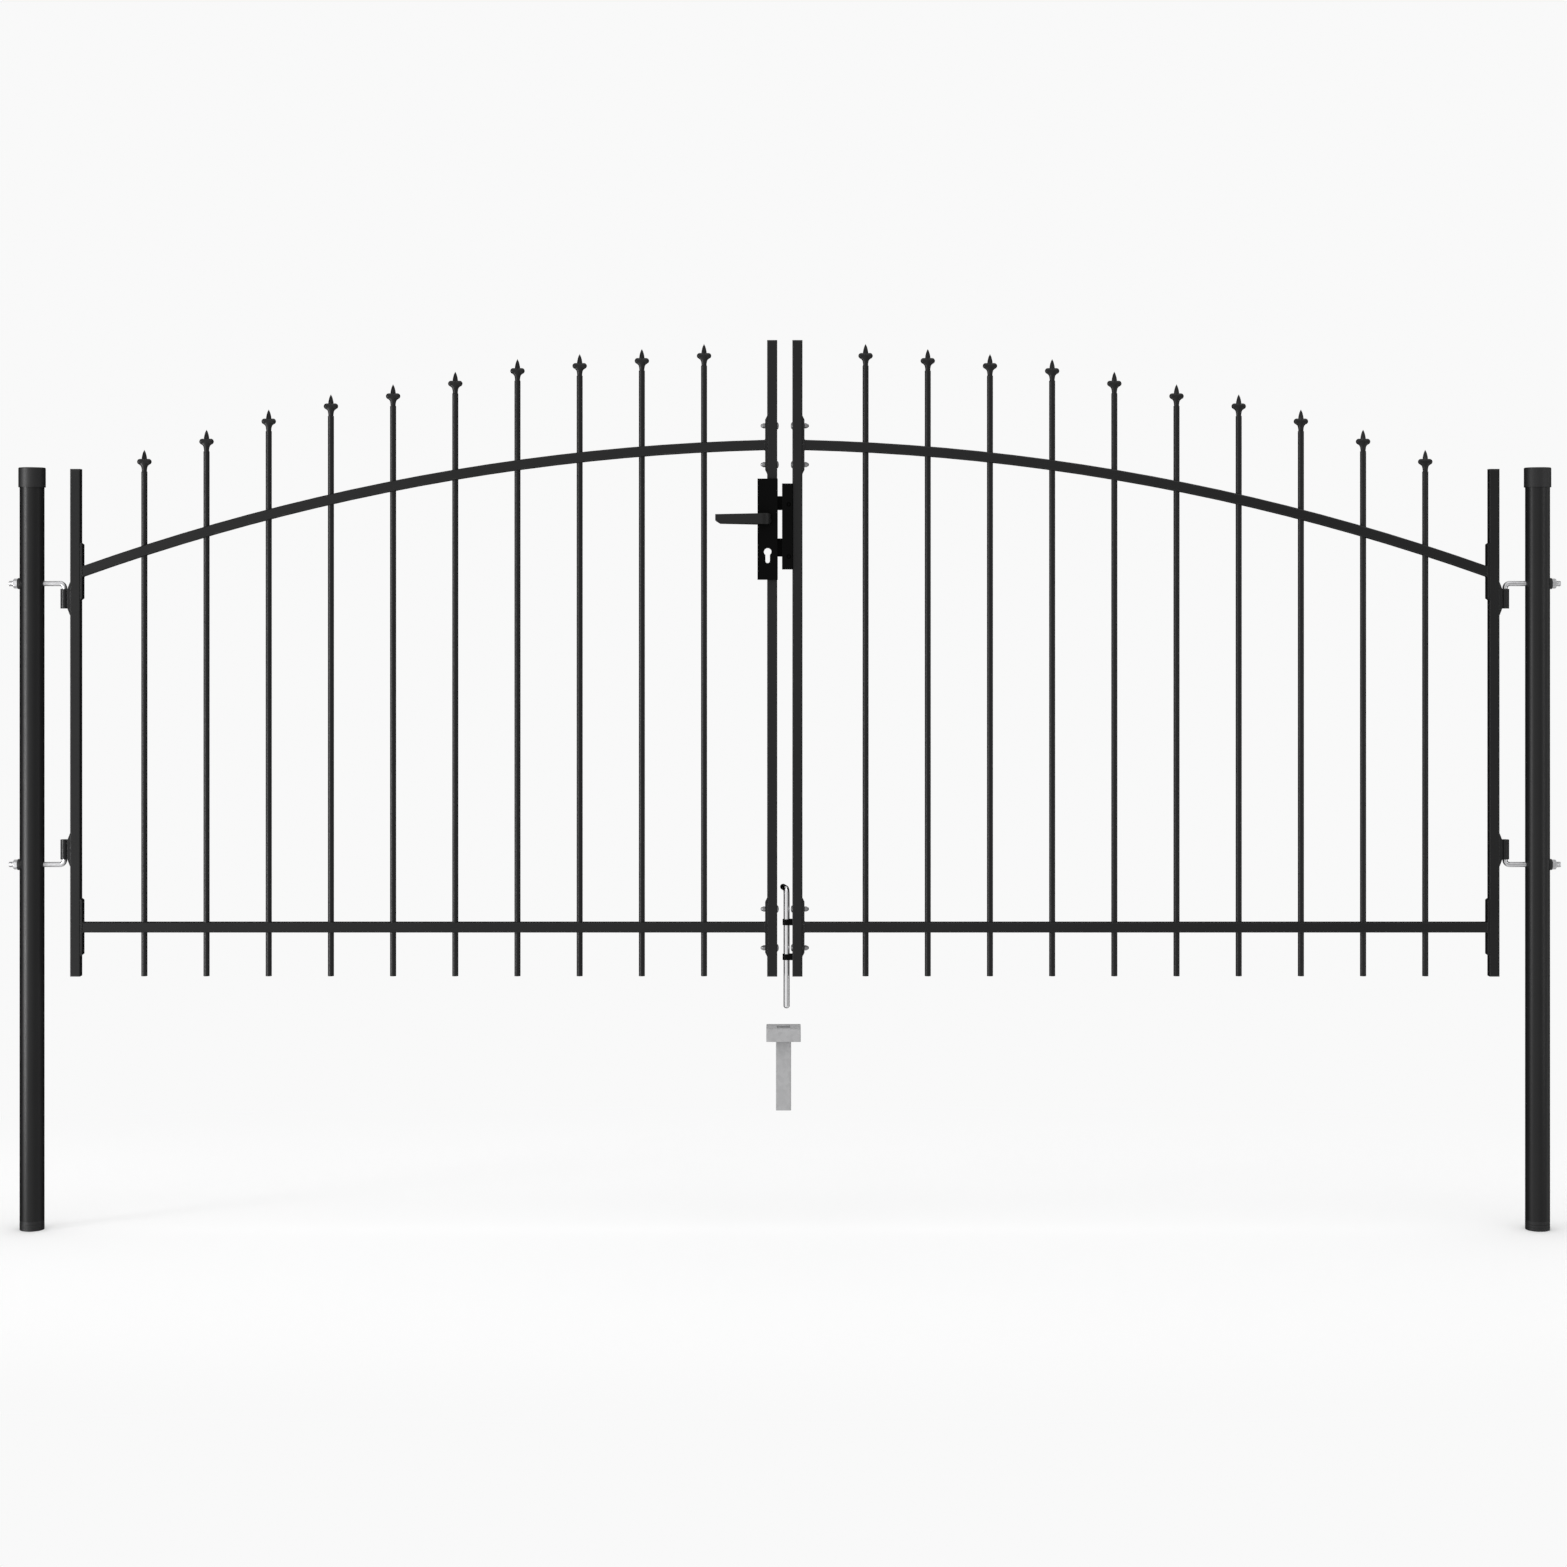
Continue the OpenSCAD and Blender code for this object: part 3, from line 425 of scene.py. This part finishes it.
class Skin:
    def __init__(self):
        self.points, self.faces = [], []

    def add(self, rings, closed=False):
        start, count = len(self.points), len(rings[0])
        for ring in rings:
            self.points.extend(tuple(p) for p in ring)
        steps = len(rings) if closed else len(rings) - 1
        for i in range(steps):
            a, b = start + i * count, start + ((i + 1) % len(rings)) * count
            for j in range(count):
                k = (j + 1) % count
                self.faces.append((a + j, a + k, b + k, b + j))
        if not closed:
            self.faces.append(tuple(start + j for j in reversed(range(count))))
            self.faces.append(tuple(start + (len(rings) - 1) * count + j for j in range(count)))

    def piece(self, name, finish, body, crease=40):
        mesh = bpy.data.meshes.new(name)
        mesh.from_pydata(self.points, [], self.faces)
        mesh.validate()
        mesh.materials.append(finish)
        made = bpy.data.objects.new(name, mesh)
        bpy.context.scene.collection.objects.link(made)
        mesh.shade_smooth()
        mesh.set_sharp_from_angle(angle=math.radians(crease))
        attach(made, body)
        return made


def turned(axis, origin):
    """Places rings whose own axis is Z so that they run along the given direction."""
    return Matrix.Translation(origin) @ Vector(axis).to_track_quat("Z", "Y").to_matrix().to_4x4()


def lathe(profile, sides, spot):
    """Rings from (radius, height) pairs."""
    return [[spot @ Vector((r * math.cos(2 * math.pi * j / sides),
                            r * math.sin(2 * math.pi * j / sides), h)) for j in range(sides)]
            for r, h in profile]

# %% [markdown]
# ## Nuts, bolts and threads
# A real nut is a hexagon whose corners are cut back by a shallow cone, which leaves the curved
# edges that tell a nut from a plain prism. The ring at each height takes the smaller of the
# hexagon and the cone. A thread is a tube whose radius rises and falls as it turns.

# %% A chamfered nut and a thread
CONE_SHARE = 0.97
CONE_SLOPE = math.tan(math.radians(30))


def hexagon_radius(angle, across_flats):
    sixth = math.pi / 3
    return across_flats / 2 / math.cos((angle + sixth / 2) % sixth - sixth / 2)


def chamfered_hexagon(spot, across_flats, height, sides):
    """Four rings: a round one, the two ends of the flats, and a round one again."""
    cone = across_flats / 2 * CONE_SHARE
    flats = [[], []]
    for j in range(sides):
        angle = 2 * math.pi * j / sides
        reach = hexagon_radius(angle, across_flats)
        cut = (reach - cone) * CONE_SLOPE
        for ring, level in zip(flats, (cut, height - cut)):
            ring.append(spot @ Vector((reach * math.cos(angle), reach * math.sin(angle), level)))
    low, high = lathe([(cone, 0.0), (cone, height)], sides, spot)
    return [low, *flats, high]


def add_nut(skin, spot, across_flats, bore, height, sides=72):
    countersink = 0.6 * mm
    mouth = bore + countersink
    rings = lathe([(bore, countersink), (mouth, 0.0)], sides, spot)
    rings += chamfered_hexagon(spot, across_flats, height, sides)
    rings += lathe([(mouth, height), (bore, height - countersink)], sides, spot)
    skin.add(rings, closed=True)


def add_thread(skin, spot, root, crest, pitch, length, sides=32, per_turn=8):
    rows = int(length / pitch * per_turn)
    rings = []
    for i in range(rows + 1):
        height = length * i / rows
        fade = min(1.0, (length - height) / (pitch * 0.6))
        ring = []
        for j in range(sides):
            turn = (height / pitch - j / sides) % 1.0
            ridge = 1 - abs(2 * turn - 1)
            radius = root + (crest - root) * ridge * fade
            angle = 2 * math.pi * j / sides
            ring.append(spot @ Vector((radius * math.cos(angle), radius * math.sin(angle), height)))
        rings.append(ring)
    skin.add(rings)

# %% [markdown]
# ## The hooks' nuts and threads
# Behind each post a nut pulls the hook's threaded rod against its saddle washer. Four nuts on
# two posts stand for one solid node. The threads sit as thin sleeves on the rods' ends.

# %% Hook nuts and thread sleeves
POST_RADIUS = 24 * mm
SADDLE = 3.5 * mm
ROD_RADIUS = 5 * mm
THREAD_ROOT, THREAD_CREST, THREAD_PITCH = 5.02 * mm, 5.4 * mm, 1.5 * mm
NUT_ACROSS, NUT_HEIGHT = 17 * mm, 8.5 * mm
upper_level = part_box("left_upper_hook")[1].z - ROD_RADIUS
lower_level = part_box("left_lower_hook")[0].z + ROD_RADIUS
rod_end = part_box("left_upper_hook")[0].x
nuts = Skin()
threads = Skin()
for level in (upper_level, lower_level):
    for side in (-1, 1):
        face = MIDDLE_X + side * (MIDDLE_X + POST_RADIUS + SADDLE)
        end = MIDDLE_X + side * (MIDDLE_X - rod_end)
        spot = turned((side, 0, 0), (face, 0, level))
        add_nut(nuts, spot, NUT_ACROSS, THREAD_ROOT, NUT_HEIGHT)
        start = face + side * NUT_HEIGHT * 0.9
        spot = turned((side, 0, 0), (start, 0, level))
        add_thread(threads, spot, THREAD_ROOT, THREAD_CREST, THREAD_PITCH, abs(end - start))
hook_nuts = nuts.piece("hook_nuts_chamfered", plated, "posts")
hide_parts("hook_nuts")
hook_threads = threads.piece("hook_threads", plated, "posts")
print("hook levels:", round(upper_level, 4), round(lower_level, 4))

# %% [markdown]
# ## The flange bolts
# Each rail is bolted to its meeting stile by two round-headed bolts. The head sits in the gap
# between the leaves. On the flange plate sits a cap nut: a chamfered hexagon with a small dome
# that covers the thread's end.

# %% Round heads and cap nuts
FLANGE_LEVELS, BOLT_SPREAD = (0.5958, 1.5538), 38.5 * mm
BOLT_LEVELS = [z + s * BOLT_SPREAD for z in FLANGE_LEVELS for s in (-1, 1)]
PLATE_DEPTH = 24 * mm
HEAD_RADIUS, HEAD_EDGE, HEAD_HEIGHT = 7 * mm, 0.35 * mm, 3 * mm
CAP_ACROSS, CAP_HEXAGON, CAP_HEIGHT = 9 * mm, 4.5 * mm, 9 * mm
DOME_SHARE = 0.93


def quarter_turn(steps, first=0):
    return [math.pi / 2 * k / steps for k in range(first, steps)]


def add_cap_nut(skin, spot, sides=48):
    rings = chamfered_hexagon(spot, CAP_ACROSS, CAP_HEXAGON, sides)
    dome, rise = CAP_ACROSS / 2 * DOME_SHARE, CAP_HEIGHT - CAP_HEXAGON
    rings += lathe([(dome * math.cos(a), CAP_HEXAGON + rise * math.sin(a))
                    for a in quarter_turn(8)], sides, spot)
    skin.add(rings)


def add_flange_bolt(skin, level, inner_x, outer_x, side):
    head = [(2.5 * mm, -1 * mm), (HEAD_RADIUS - 0.4 * mm, 0.0), (HEAD_RADIUS, HEAD_EDGE)]
    head += [(HEAD_RADIUS * math.cos(a), HEAD_EDGE + (HEAD_HEIGHT - HEAD_EDGE) * math.sin(a))
             for a in quarter_turn(7, 1)]
    head.append((0.3 * mm, HEAD_HEIGHT))
    skin.add(lathe(head, 40, turned((side, 0, 0), (outer_x, 0, level))))
    add_cap_nut(skin, turned((-side, 0, 0), (inner_x, 0, level)))


for leaf, side in (("left", 1), ("right", -1)):
    outer_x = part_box(leaf + "_meeting_stile")[1 if side > 0 else 0].x
    inner_x = outer_x - side * PLATE_DEPTH
    bolts = Skin()
    for level in BOLT_LEVELS:
        add_flange_bolt(bolts, level, inner_x, outer_x, side)
    made = bolts.piece(leaf + "_flange_bolts_full", dulled, leaf + "_leaf")
    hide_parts(leaf + "_flange_bolts")
    print(leaf, "bolts at x", round(inner_x, 4), "to", round(outer_x, 4))

# %% [markdown]
# ## The cast spears
# Each picket ends in a small casting. A waisted neck flares into a level bar with two round
# lobes, and a four-sided blade with a blunt tip stands on it. The neck's rings are as deep as
# the bar at most, so that the flare spreads sideways only. The ridges of the blade are
# slightly flattened, as a sand casting leaves them.

# %% Twenty spears on two leaves
LEAF_X0, LEAF_X1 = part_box("left_hinge_stile")[0].x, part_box("left_meeting_stile")[1].x
PICKET_EDGE = 145.15 * mm
BELOW_TALLEST = [210, 170, 130, 100, 80, 55, 30, 20, 10, 0]
LOBE_DOWN, LOBE_RADIUS, LOBE_SPAN = 23.5 * mm, 5.8 * mm, 28.6 * mm
NECK = [(5.2, -19.5), (5.05, -19.0), (5.05, -17.4), (5.2, -15.6), (5.45, -13.7), (5.75, -11.8),
        (6.2, -10.0), (6.75, -8.8), (7.4, -7.9), (8.2, -7.1), (9.1, -6.4), (10.0, -5.8),
        (10.2, -5.0), (10.0, -0.5)]
BLADE = [(5.7, 0.0), (5.6, 5.0), (5.4, 8.0), (5.05, 10.2), (4.65, 12.1), (4.15, 14.1),
         (3.65, 16.0), (3.05, 18.0), (2.3, 19.7), (1.5, 21.2), (0.8, 22.6), (0.3, 23.4)]


def spear_rings(skin, x, level):
    spot = Matrix.Translation((x, 0, level))
    skin.add([[spot @ Vector((a * mm * math.cos(turn), min(a * mm, LOBE_RADIUS) * math.sin(turn),
                              h * mm)) for turn in [2 * math.pi * j / 32 for j in range(32)]]
              for a, h in NECK])
    straight = LOBE_SPAN / 2 - LOBE_RADIUS
    bar = []
    for end in (-1, 1):
        round_end = [(LOBE_RADIUS * math.cos(k * math.pi / 18),
                      end * (straight + LOBE_RADIUS * math.sin(k * math.pi / 18)))
                     for k in range(9)]
        bar += round_end[::-1] if end < 0 else round_end
    skin.add(lathe(bar, 32, turned((1, 0, 0), (x, 0, level))))
    rings = []
    for half, height in BLADE:
        flat_ridge = min(0.3, half / 2)
        corners = []
        for cx, cy in ((1, 0), (0, 1), (-1, 0), (0, -1)):
            corners += [(cx * (half - flat_ridge) + s * cy * flat_ridge,
                         cy * (half - flat_ridge) - s * cx * flat_ridge) for s in (1, -1)]
        rings.append([spot @ Vector((a * mm, b * mm, height * mm)) for a, b in corners])
    skin.add(rings)


for leaf, side in (("left", 1), ("right", -1)):
    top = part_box(leaf + "_finials")[1].z - LOBE_DOWN
    pitch = (LEAF_X1 - LEAF_X0 - 2 * PICKET_EDGE) / (len(BELOW_TALLEST) - 1)
    spears = Skin()
    for i, below in enumerate(BELOW_TALLEST):
        x = LEAF_X0 + PICKET_EDGE + i * pitch
        spear_rings(spears, x if side > 0 else 2 * MIDDLE_X - x, top - below * mm)
    made = spears.piece(leaf + "_spears", frame_black, leaf + "_leaf", crease=35)
    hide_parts(leaf + "_finials")
    print(leaf, "spears have", len(made.data.polygons), "faces")

# %% [markdown]
# ## Weld beads
# The rails, the barrels, the lock case and the socket's head are welded. A hand weld is a row
# of frozen ripples. Each bead is a thin tube along its joint, half sunk in the steel, whose
# radius swells at every ripple.

# %% A weld bead along a path
def add_bead(skin, path, radius, closed, ripple=2.2 * mm):
    points = []
    last = len(path) if closed else len(path) - 1
    for i in range(last):
        a, b = Vector(path[i]), Vector(path[(i + 1) % len(path)])
        steps = max(1, int((b - a).length / (ripple / 4)))
        points += [a.lerp(b, s / steps) for s in range(steps)]
    if not closed:
        points.append(Vector(path[-1]))
    count = len(points)
    rings = []
    for i, point in enumerate(points):
        after = points[(i + 1) % count] if closed else points[min(i + 1, count - 1)]
        before = points[i - 1] if closed else points[max(i - 1, 0)]
        along = (after - before).normalized()
        turn = along.to_track_quat("Z", "Y").to_matrix()
        swell = 1 + 0.16 * math.cos(i * math.pi / 2) + 0.08 * math.sin(i * 0.37)
        size = radius * swell
        if not closed and (i < 2 or i > count - 3):
            size *= 0.55
        rings.append([point + turn @ Vector((size * math.cos(a), size * math.sin(a), 0))
                      for a in [2 * math.pi * k / 8 for k in range(8)]])
    skin.add(rings, closed=closed)


def tube_loop(x, z, height, half=9.6 * mm, corner=2 * mm):
    """Corners of a loop round a square tube whose axis runs along X."""
    top, deep = height / 2, half
    return [(x, -deep, z - top + corner), (x, -deep, z + top - corner),
            (x, -deep + corner, z + top), (x, deep - corner, z + top),
            (x, deep, z + top - corner), (x, deep, z - top + corner),
            (x, deep - corner, z - top), (x, -deep + corner, z - top)]

# %% [markdown]
# The arch rail meets its flange plates on a slope, so its cut end is a little taller than the
# tube. The slope follows from the arch's centre, which is the same for both leaves.

# %% Beads at the rails' ends, the barrels and the fittings
PLATE_X0, PLATE_X1 = LEAF_X0 + PLATE_DEPTH, LEAF_X1 - PLATE_DEPTH
BOTTOM_RAIL, TUBE_WIDTH, TUBE_CUT = 0.5985, 20 * mm, 19.4 * mm
ARCH_RADIUS = 4.352
ARCH_LOW, ARCH_HIGH = 1.2985, 1.5545
BARREL_AXIS = 13 * mm
RAIL_BEAD, BARREL_BEAD, PLATE_BEAD = 1.3 * mm, 1.4 * mm, 1.0 * mm
run, rise = LEAF_X1 - LEAF_X0 - TUBE_WIDTH, ARCH_HIGH - ARCH_LOW
chord = math.hypot(run, rise)
drop = math.sqrt(ARCH_RADIUS ** 2 - chord ** 2 / 4)
arch_x = (LEAF_X0 + LEAF_X1) / 2 + drop * rise / chord
arch_z = (ARCH_LOW + ARCH_HIGH) / 2 - drop * run / chord


def arch_height(x):
    return arch_z + math.sqrt(ARCH_RADIUS ** 2 - (x - arch_x) ** 2)


def arch_cut(x):
    return TUBE_CUT * ARCH_RADIUS / math.sqrt(ARCH_RADIUS ** 2 - (x - arch_x) ** 2)


def flip(points, side):
    """The right leaf is the left one seen in a mirror."""
    return points if side > 0 else [(2 * MIDDLE_X - x, y, z) for x, y, z in points]


for leaf, side in (("left", 1), ("right", -1)):
    welds = Skin()
    for x in (PLATE_X0, PLATE_X1):
        for level, cut in ((BOTTOM_RAIL, TUBE_CUT), (arch_height(x), arch_cut(x))):
            add_bead(welds, flip(tube_loop(x, level, cut), side), RAIL_BEAD, True)
    for barrel in ("upper", "lower"):
        low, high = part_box(leaf + "_" + barrel + "_barrel")
        middle = (low.z + high.z) / 2
        face = LEAF_X0 if side > 0 else 2 * MIDDLE_X - LEAF_X0
        axis = face - side * BARREL_AXIS
        for y in (-1, 1):
            seam = [(axis + side * 6.6 * mm, y * 4.4 * mm, middle + s * 19 * mm) for s in (-1, 1)]
            add_bead(welds, seam, BARREL_BEAD, False)
            edge = [(face, y * 9.4 * mm, middle + s * 32 * mm) for s in (-1, 1)]
            add_bead(welds, edge, PLATE_BEAD, False)
    made = welds.piece(leaf + "_leaf_welds", frame_black, leaf + "_leaf", crease=80)
    print(leaf, "welds have", len(made.data.polygons), "faces")

# %% [markdown]
# ## Keeper screws
# The photograph shows two dark sunk spots on the keeper's face. They are the sunk heads of the
# screws that hold the box to its stile: a shallow cup with a hexagon socket at its bottom.

# %% Two sunk socket screws
SCREW_LEVELS, SCREW_ASIDE, SCREW_SUNK = (1.436, 1.333), 3 * mm, 0.4 * mm
SCREW_PROFILE = [(4.4, -0.6), (4.4, 0.15), (4.1, 0.4), (2.6, 0.4), (2.4, -0.3), (0.4, -0.5)]
keeper_low, keeper_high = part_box("keeper")
screws = Skin()
for level in SCREW_LEVELS:
    spot = turned((0, -1, 0), ((keeper_low.x + keeper_high.x) / 2 + SCREW_ASIDE,
                               keeper_low.y + SCREW_SUNK, level))
    screws.add(lathe([(r * mm, h * mm) for r, h in SCREW_PROFILE], 36, spot))
screws.piece("keeper_screws", lock_black, "right_leaf")
print("keeper screws at", SCREW_LEVELS)

# %% [markdown]
# ## The studio
# The photograph has a plain near-white ground. The floor is matt and pale and keeps the gate's
# shadow close to the posts. Further out it blends into the plain white that the world also
# shows, so that no horizon cuts through the gate. Gloss doesn't see the floor, because the
# posts in the photograph keep their dark outlines right down to their feet.

# %% Floor
WHITE = 0.947


def seen_directly(tree):
    """1 for what the camera, a mirror or a glass sees, and 0 for what lights matt surfaces."""
    path = node(tree, "ShaderNodeLightPath")
    seen = node(tree, "ShaderNodeMath", operation="MAXIMUM")
    seen_too = node(tree, "ShaderNodeMath", operation="MAXIMUM")
    wire(
        tree,
        (path.outputs["Is Camera Ray"], seen.inputs[0]),
        (path.outputs["Is Glossy Ray"], seen.inputs[1]),
        (seen.outputs[0], seen_too.inputs[0]),
        (path.outputs["Is Transmission Ray"], seen_too.inputs[1]),
    )
    return seen_too.outputs[0]


floor_mesh = bpy.data.meshes.new("floor")
reach = 40.0
floor_mesh.from_pydata([(-reach, -reach, 0), (reach, -reach, 0), (reach, reach, 0),
                        (-reach, reach, 0)], [], [(0, 1, 2, 3)])
floor = bpy.data.objects.new("floor", floor_mesh)
bpy.context.scene.collection.objects.link(floor)
floor.location = (MIDDLE_X, 0, cad_low.z - 0.0005)
paper = bpy.data.materials.new("pale floor")
paper.use_nodes = True
tree = paper.node_tree
tree.nodes.clear()
spot_on_floor = node(tree, "ShaderNodeTexCoord")
along_gate = node(tree, "ShaderNodeVectorMath", operation="MULTIPLY")
along_gate.inputs[1].default_value = (0.3, 1.0, 1.0)
distance = node(tree, "ShaderNodeVectorMath", operation="LENGTH")
fade = node(tree, "ShaderNodeMapRange", interpolation_type="SMOOTHSTEP")
fade.inputs["From Min"].default_value = 0.5
fade.inputs["From Max"].default_value = 1.3
share = node(tree, "ShaderNodeMath", operation="MULTIPLY")
matt = node(tree, "ShaderNodeBsdfDiffuse", Color=(0.925, 0.925, 0.925, 1))
plain = node(tree, "ShaderNodeEmission", Color=(WHITE, WHITE, WHITE, 1))
either = node(tree, "ShaderNodeMixShader")
out = node(tree, "ShaderNodeOutputMaterial")
wire(
    tree,
    (spot_on_floor.outputs["Object"], along_gate.inputs[0]),
    (along_gate.outputs[0], distance.inputs[0]),
    (distance.outputs["Value"], fade.inputs["Value"]),
    (seen_directly(tree), share.inputs[0]),
    (fade.outputs[0], share.inputs[1]),
    (share.outputs[0], either.inputs[0]),
    (matt.outputs[0], either.inputs[1]),
    (plain.outputs[0], either.inputs[2]),
    (either.outputs[0], out.inputs["Surface"]),
)
floor_mesh.materials.append(paper)
floor.visible_glossy = False
print("floor at", round(floor.location.z, 4))

# %% [markdown]
# The world is the large soft light. What the camera, a mirror or a glass sees of it is the
# same white as the floor, and what lights matt surfaces is a plain level of its own.

# %% World
world = bpy.data.worlds.new("studio")
bpy.context.scene.world = world
world.use_nodes = True
tree = world.node_tree
tree.nodes.clear()
backdrop = node(tree, "ShaderNodeBackground", Color=(WHITE, WHITE, WHITE, 1), Strength=1.0)
soft_light = node(tree, "ShaderNodeBackground", Color=(1, 1, 1, 1), Strength=0.95)
either = node(tree, "ShaderNodeMixShader")
out = node(tree, "ShaderNodeOutputWorld")
wire(
    tree,
    (seen_directly(tree), either.inputs[0]),
    (soft_light.outputs[0], either.inputs[1]),
    (backdrop.outputs[0], either.inputs[2]),
    (either.outputs[0], out.inputs["Surface"]),
)

# %% [markdown]
# A tall soft lamp at the left lights the gate, and a wide one above softens the shadows. Three
# narrow lamps near the posts act on gloss alone. They draw the light stripe that the photograph
# shows a quarter of the way across the left post, and the two fainter ones on the right post.
# The drop bolt is left out of their light, because its own outlines are dark in the photograph.
# Cards that only gloss can see stand behind the gate and at its sides. They reach far below
# the floor. The black ones give every tube its dark outline, and the grey one at the right
# keeps the right-hand side of the round parts dimmer than the left.

# %% Lamps and cards
def soft_lamp(name, spot, aim, width, height, power):
    data = bpy.data.lights.new(name, "AREA")
    data.shape = "RECTANGLE"
    data.size, data.size_y, data.energy = width, height, power
    lamp = bpy.data.objects.new(name, data)
    bpy.context.scene.collection.objects.link(lamp)
    lamp.location = spot
    lamp.rotation_euler = (Vector(aim) - Vector(spot)).to_track_quat("-Z", "Y").to_euler()
    return lamp


CENTRE = (MIDDLE_X, 0, 0.95)
LEFT_POST, RIGHT_POST = 0.0, 2 * MIDDLE_X
key = soft_lamp("left key", (MIDDLE_X - 8.6, -4.6, 2.2), CENTRE, 1.6, 5.0, 150)
key.visible_glossy = False
soft_lamp("overhead", (MIDDLE_X, -1.0, 6.5), CENTRE, 6.0, 4.0, 60)
stripes = [
    soft_lamp("left stripe", (LEFT_POST - 1.75, -1.47, 1.1), (LEFT_POST, 0, 1.1), 0.6, 2.2, 28),
    soft_lamp("left stripe low", (LEFT_POST - 1.75, -1.47, 0.2), (LEFT_POST, 0, 0.2), 0.6, 0.4, 10),
    soft_lamp("right rim", (RIGHT_POST + 1.06, -1.06, 1.0), (RIGHT_POST, 0, 1.0), 0.3, 2.0, 2.7),
]
unlit = bpy.data.collections.new("not lit by the stripe lamps")
unlit.objects.link(frame["nodes"]["drop_bolt"])
unlit.collection_objects[0].light_linking.link_state = "EXCLUDE"
for stripe in stripes:
    stripe.visible_diffuse = False
    stripe.data.spread = math.radians(120)
    stripe.light_linking.receiver_collection = unlit


def glossy_card(name, level, corners, bottom=-2.5, top=5.0):
    """A standing card along the given corners that only mirrors and gloss can see."""
    made = bpy.data.materials.new(name)
    made.use_nodes = True
    made.node_tree.nodes.clear()
    glow = node(made.node_tree, "ShaderNodeEmission", Color=(level, level, level, 1))
    out = node(made.node_tree, "ShaderNodeOutputMaterial")
    wire(made.node_tree, (glow.outputs[0], out.inputs["Surface"]))
    count = len(corners)
    mesh = bpy.data.meshes.new(name)
    mesh.from_pydata([(MIDDLE_X + x, y, z) for z in (bottom, top) for x, y in corners], [],
                     [(i, i + 1, i + count + 1, i + count) for i in range(count - 1)])
    mesh.materials.append(made)
    card = bpy.data.objects.new(name, mesh)
    bpy.context.scene.collection.objects.link(card)
    card.visible_camera = card.visible_diffuse = card.visible_shadow = False
    card.visible_transmission = False


glossy_card("dark cards", 0.0, [(-3.2, -0.4), (-3.2, 2.6), (3.2, 2.6), (3.2, 0.6)])
glossy_card("grey card", 0.45, [(4, -0.3), (4, -4.5), (1.2, -9)])
bpy.context.scene.view_settings.view_transform = "Standard"
print("lamps:", sorted(lamp.name for lamp in bpy.data.lights))
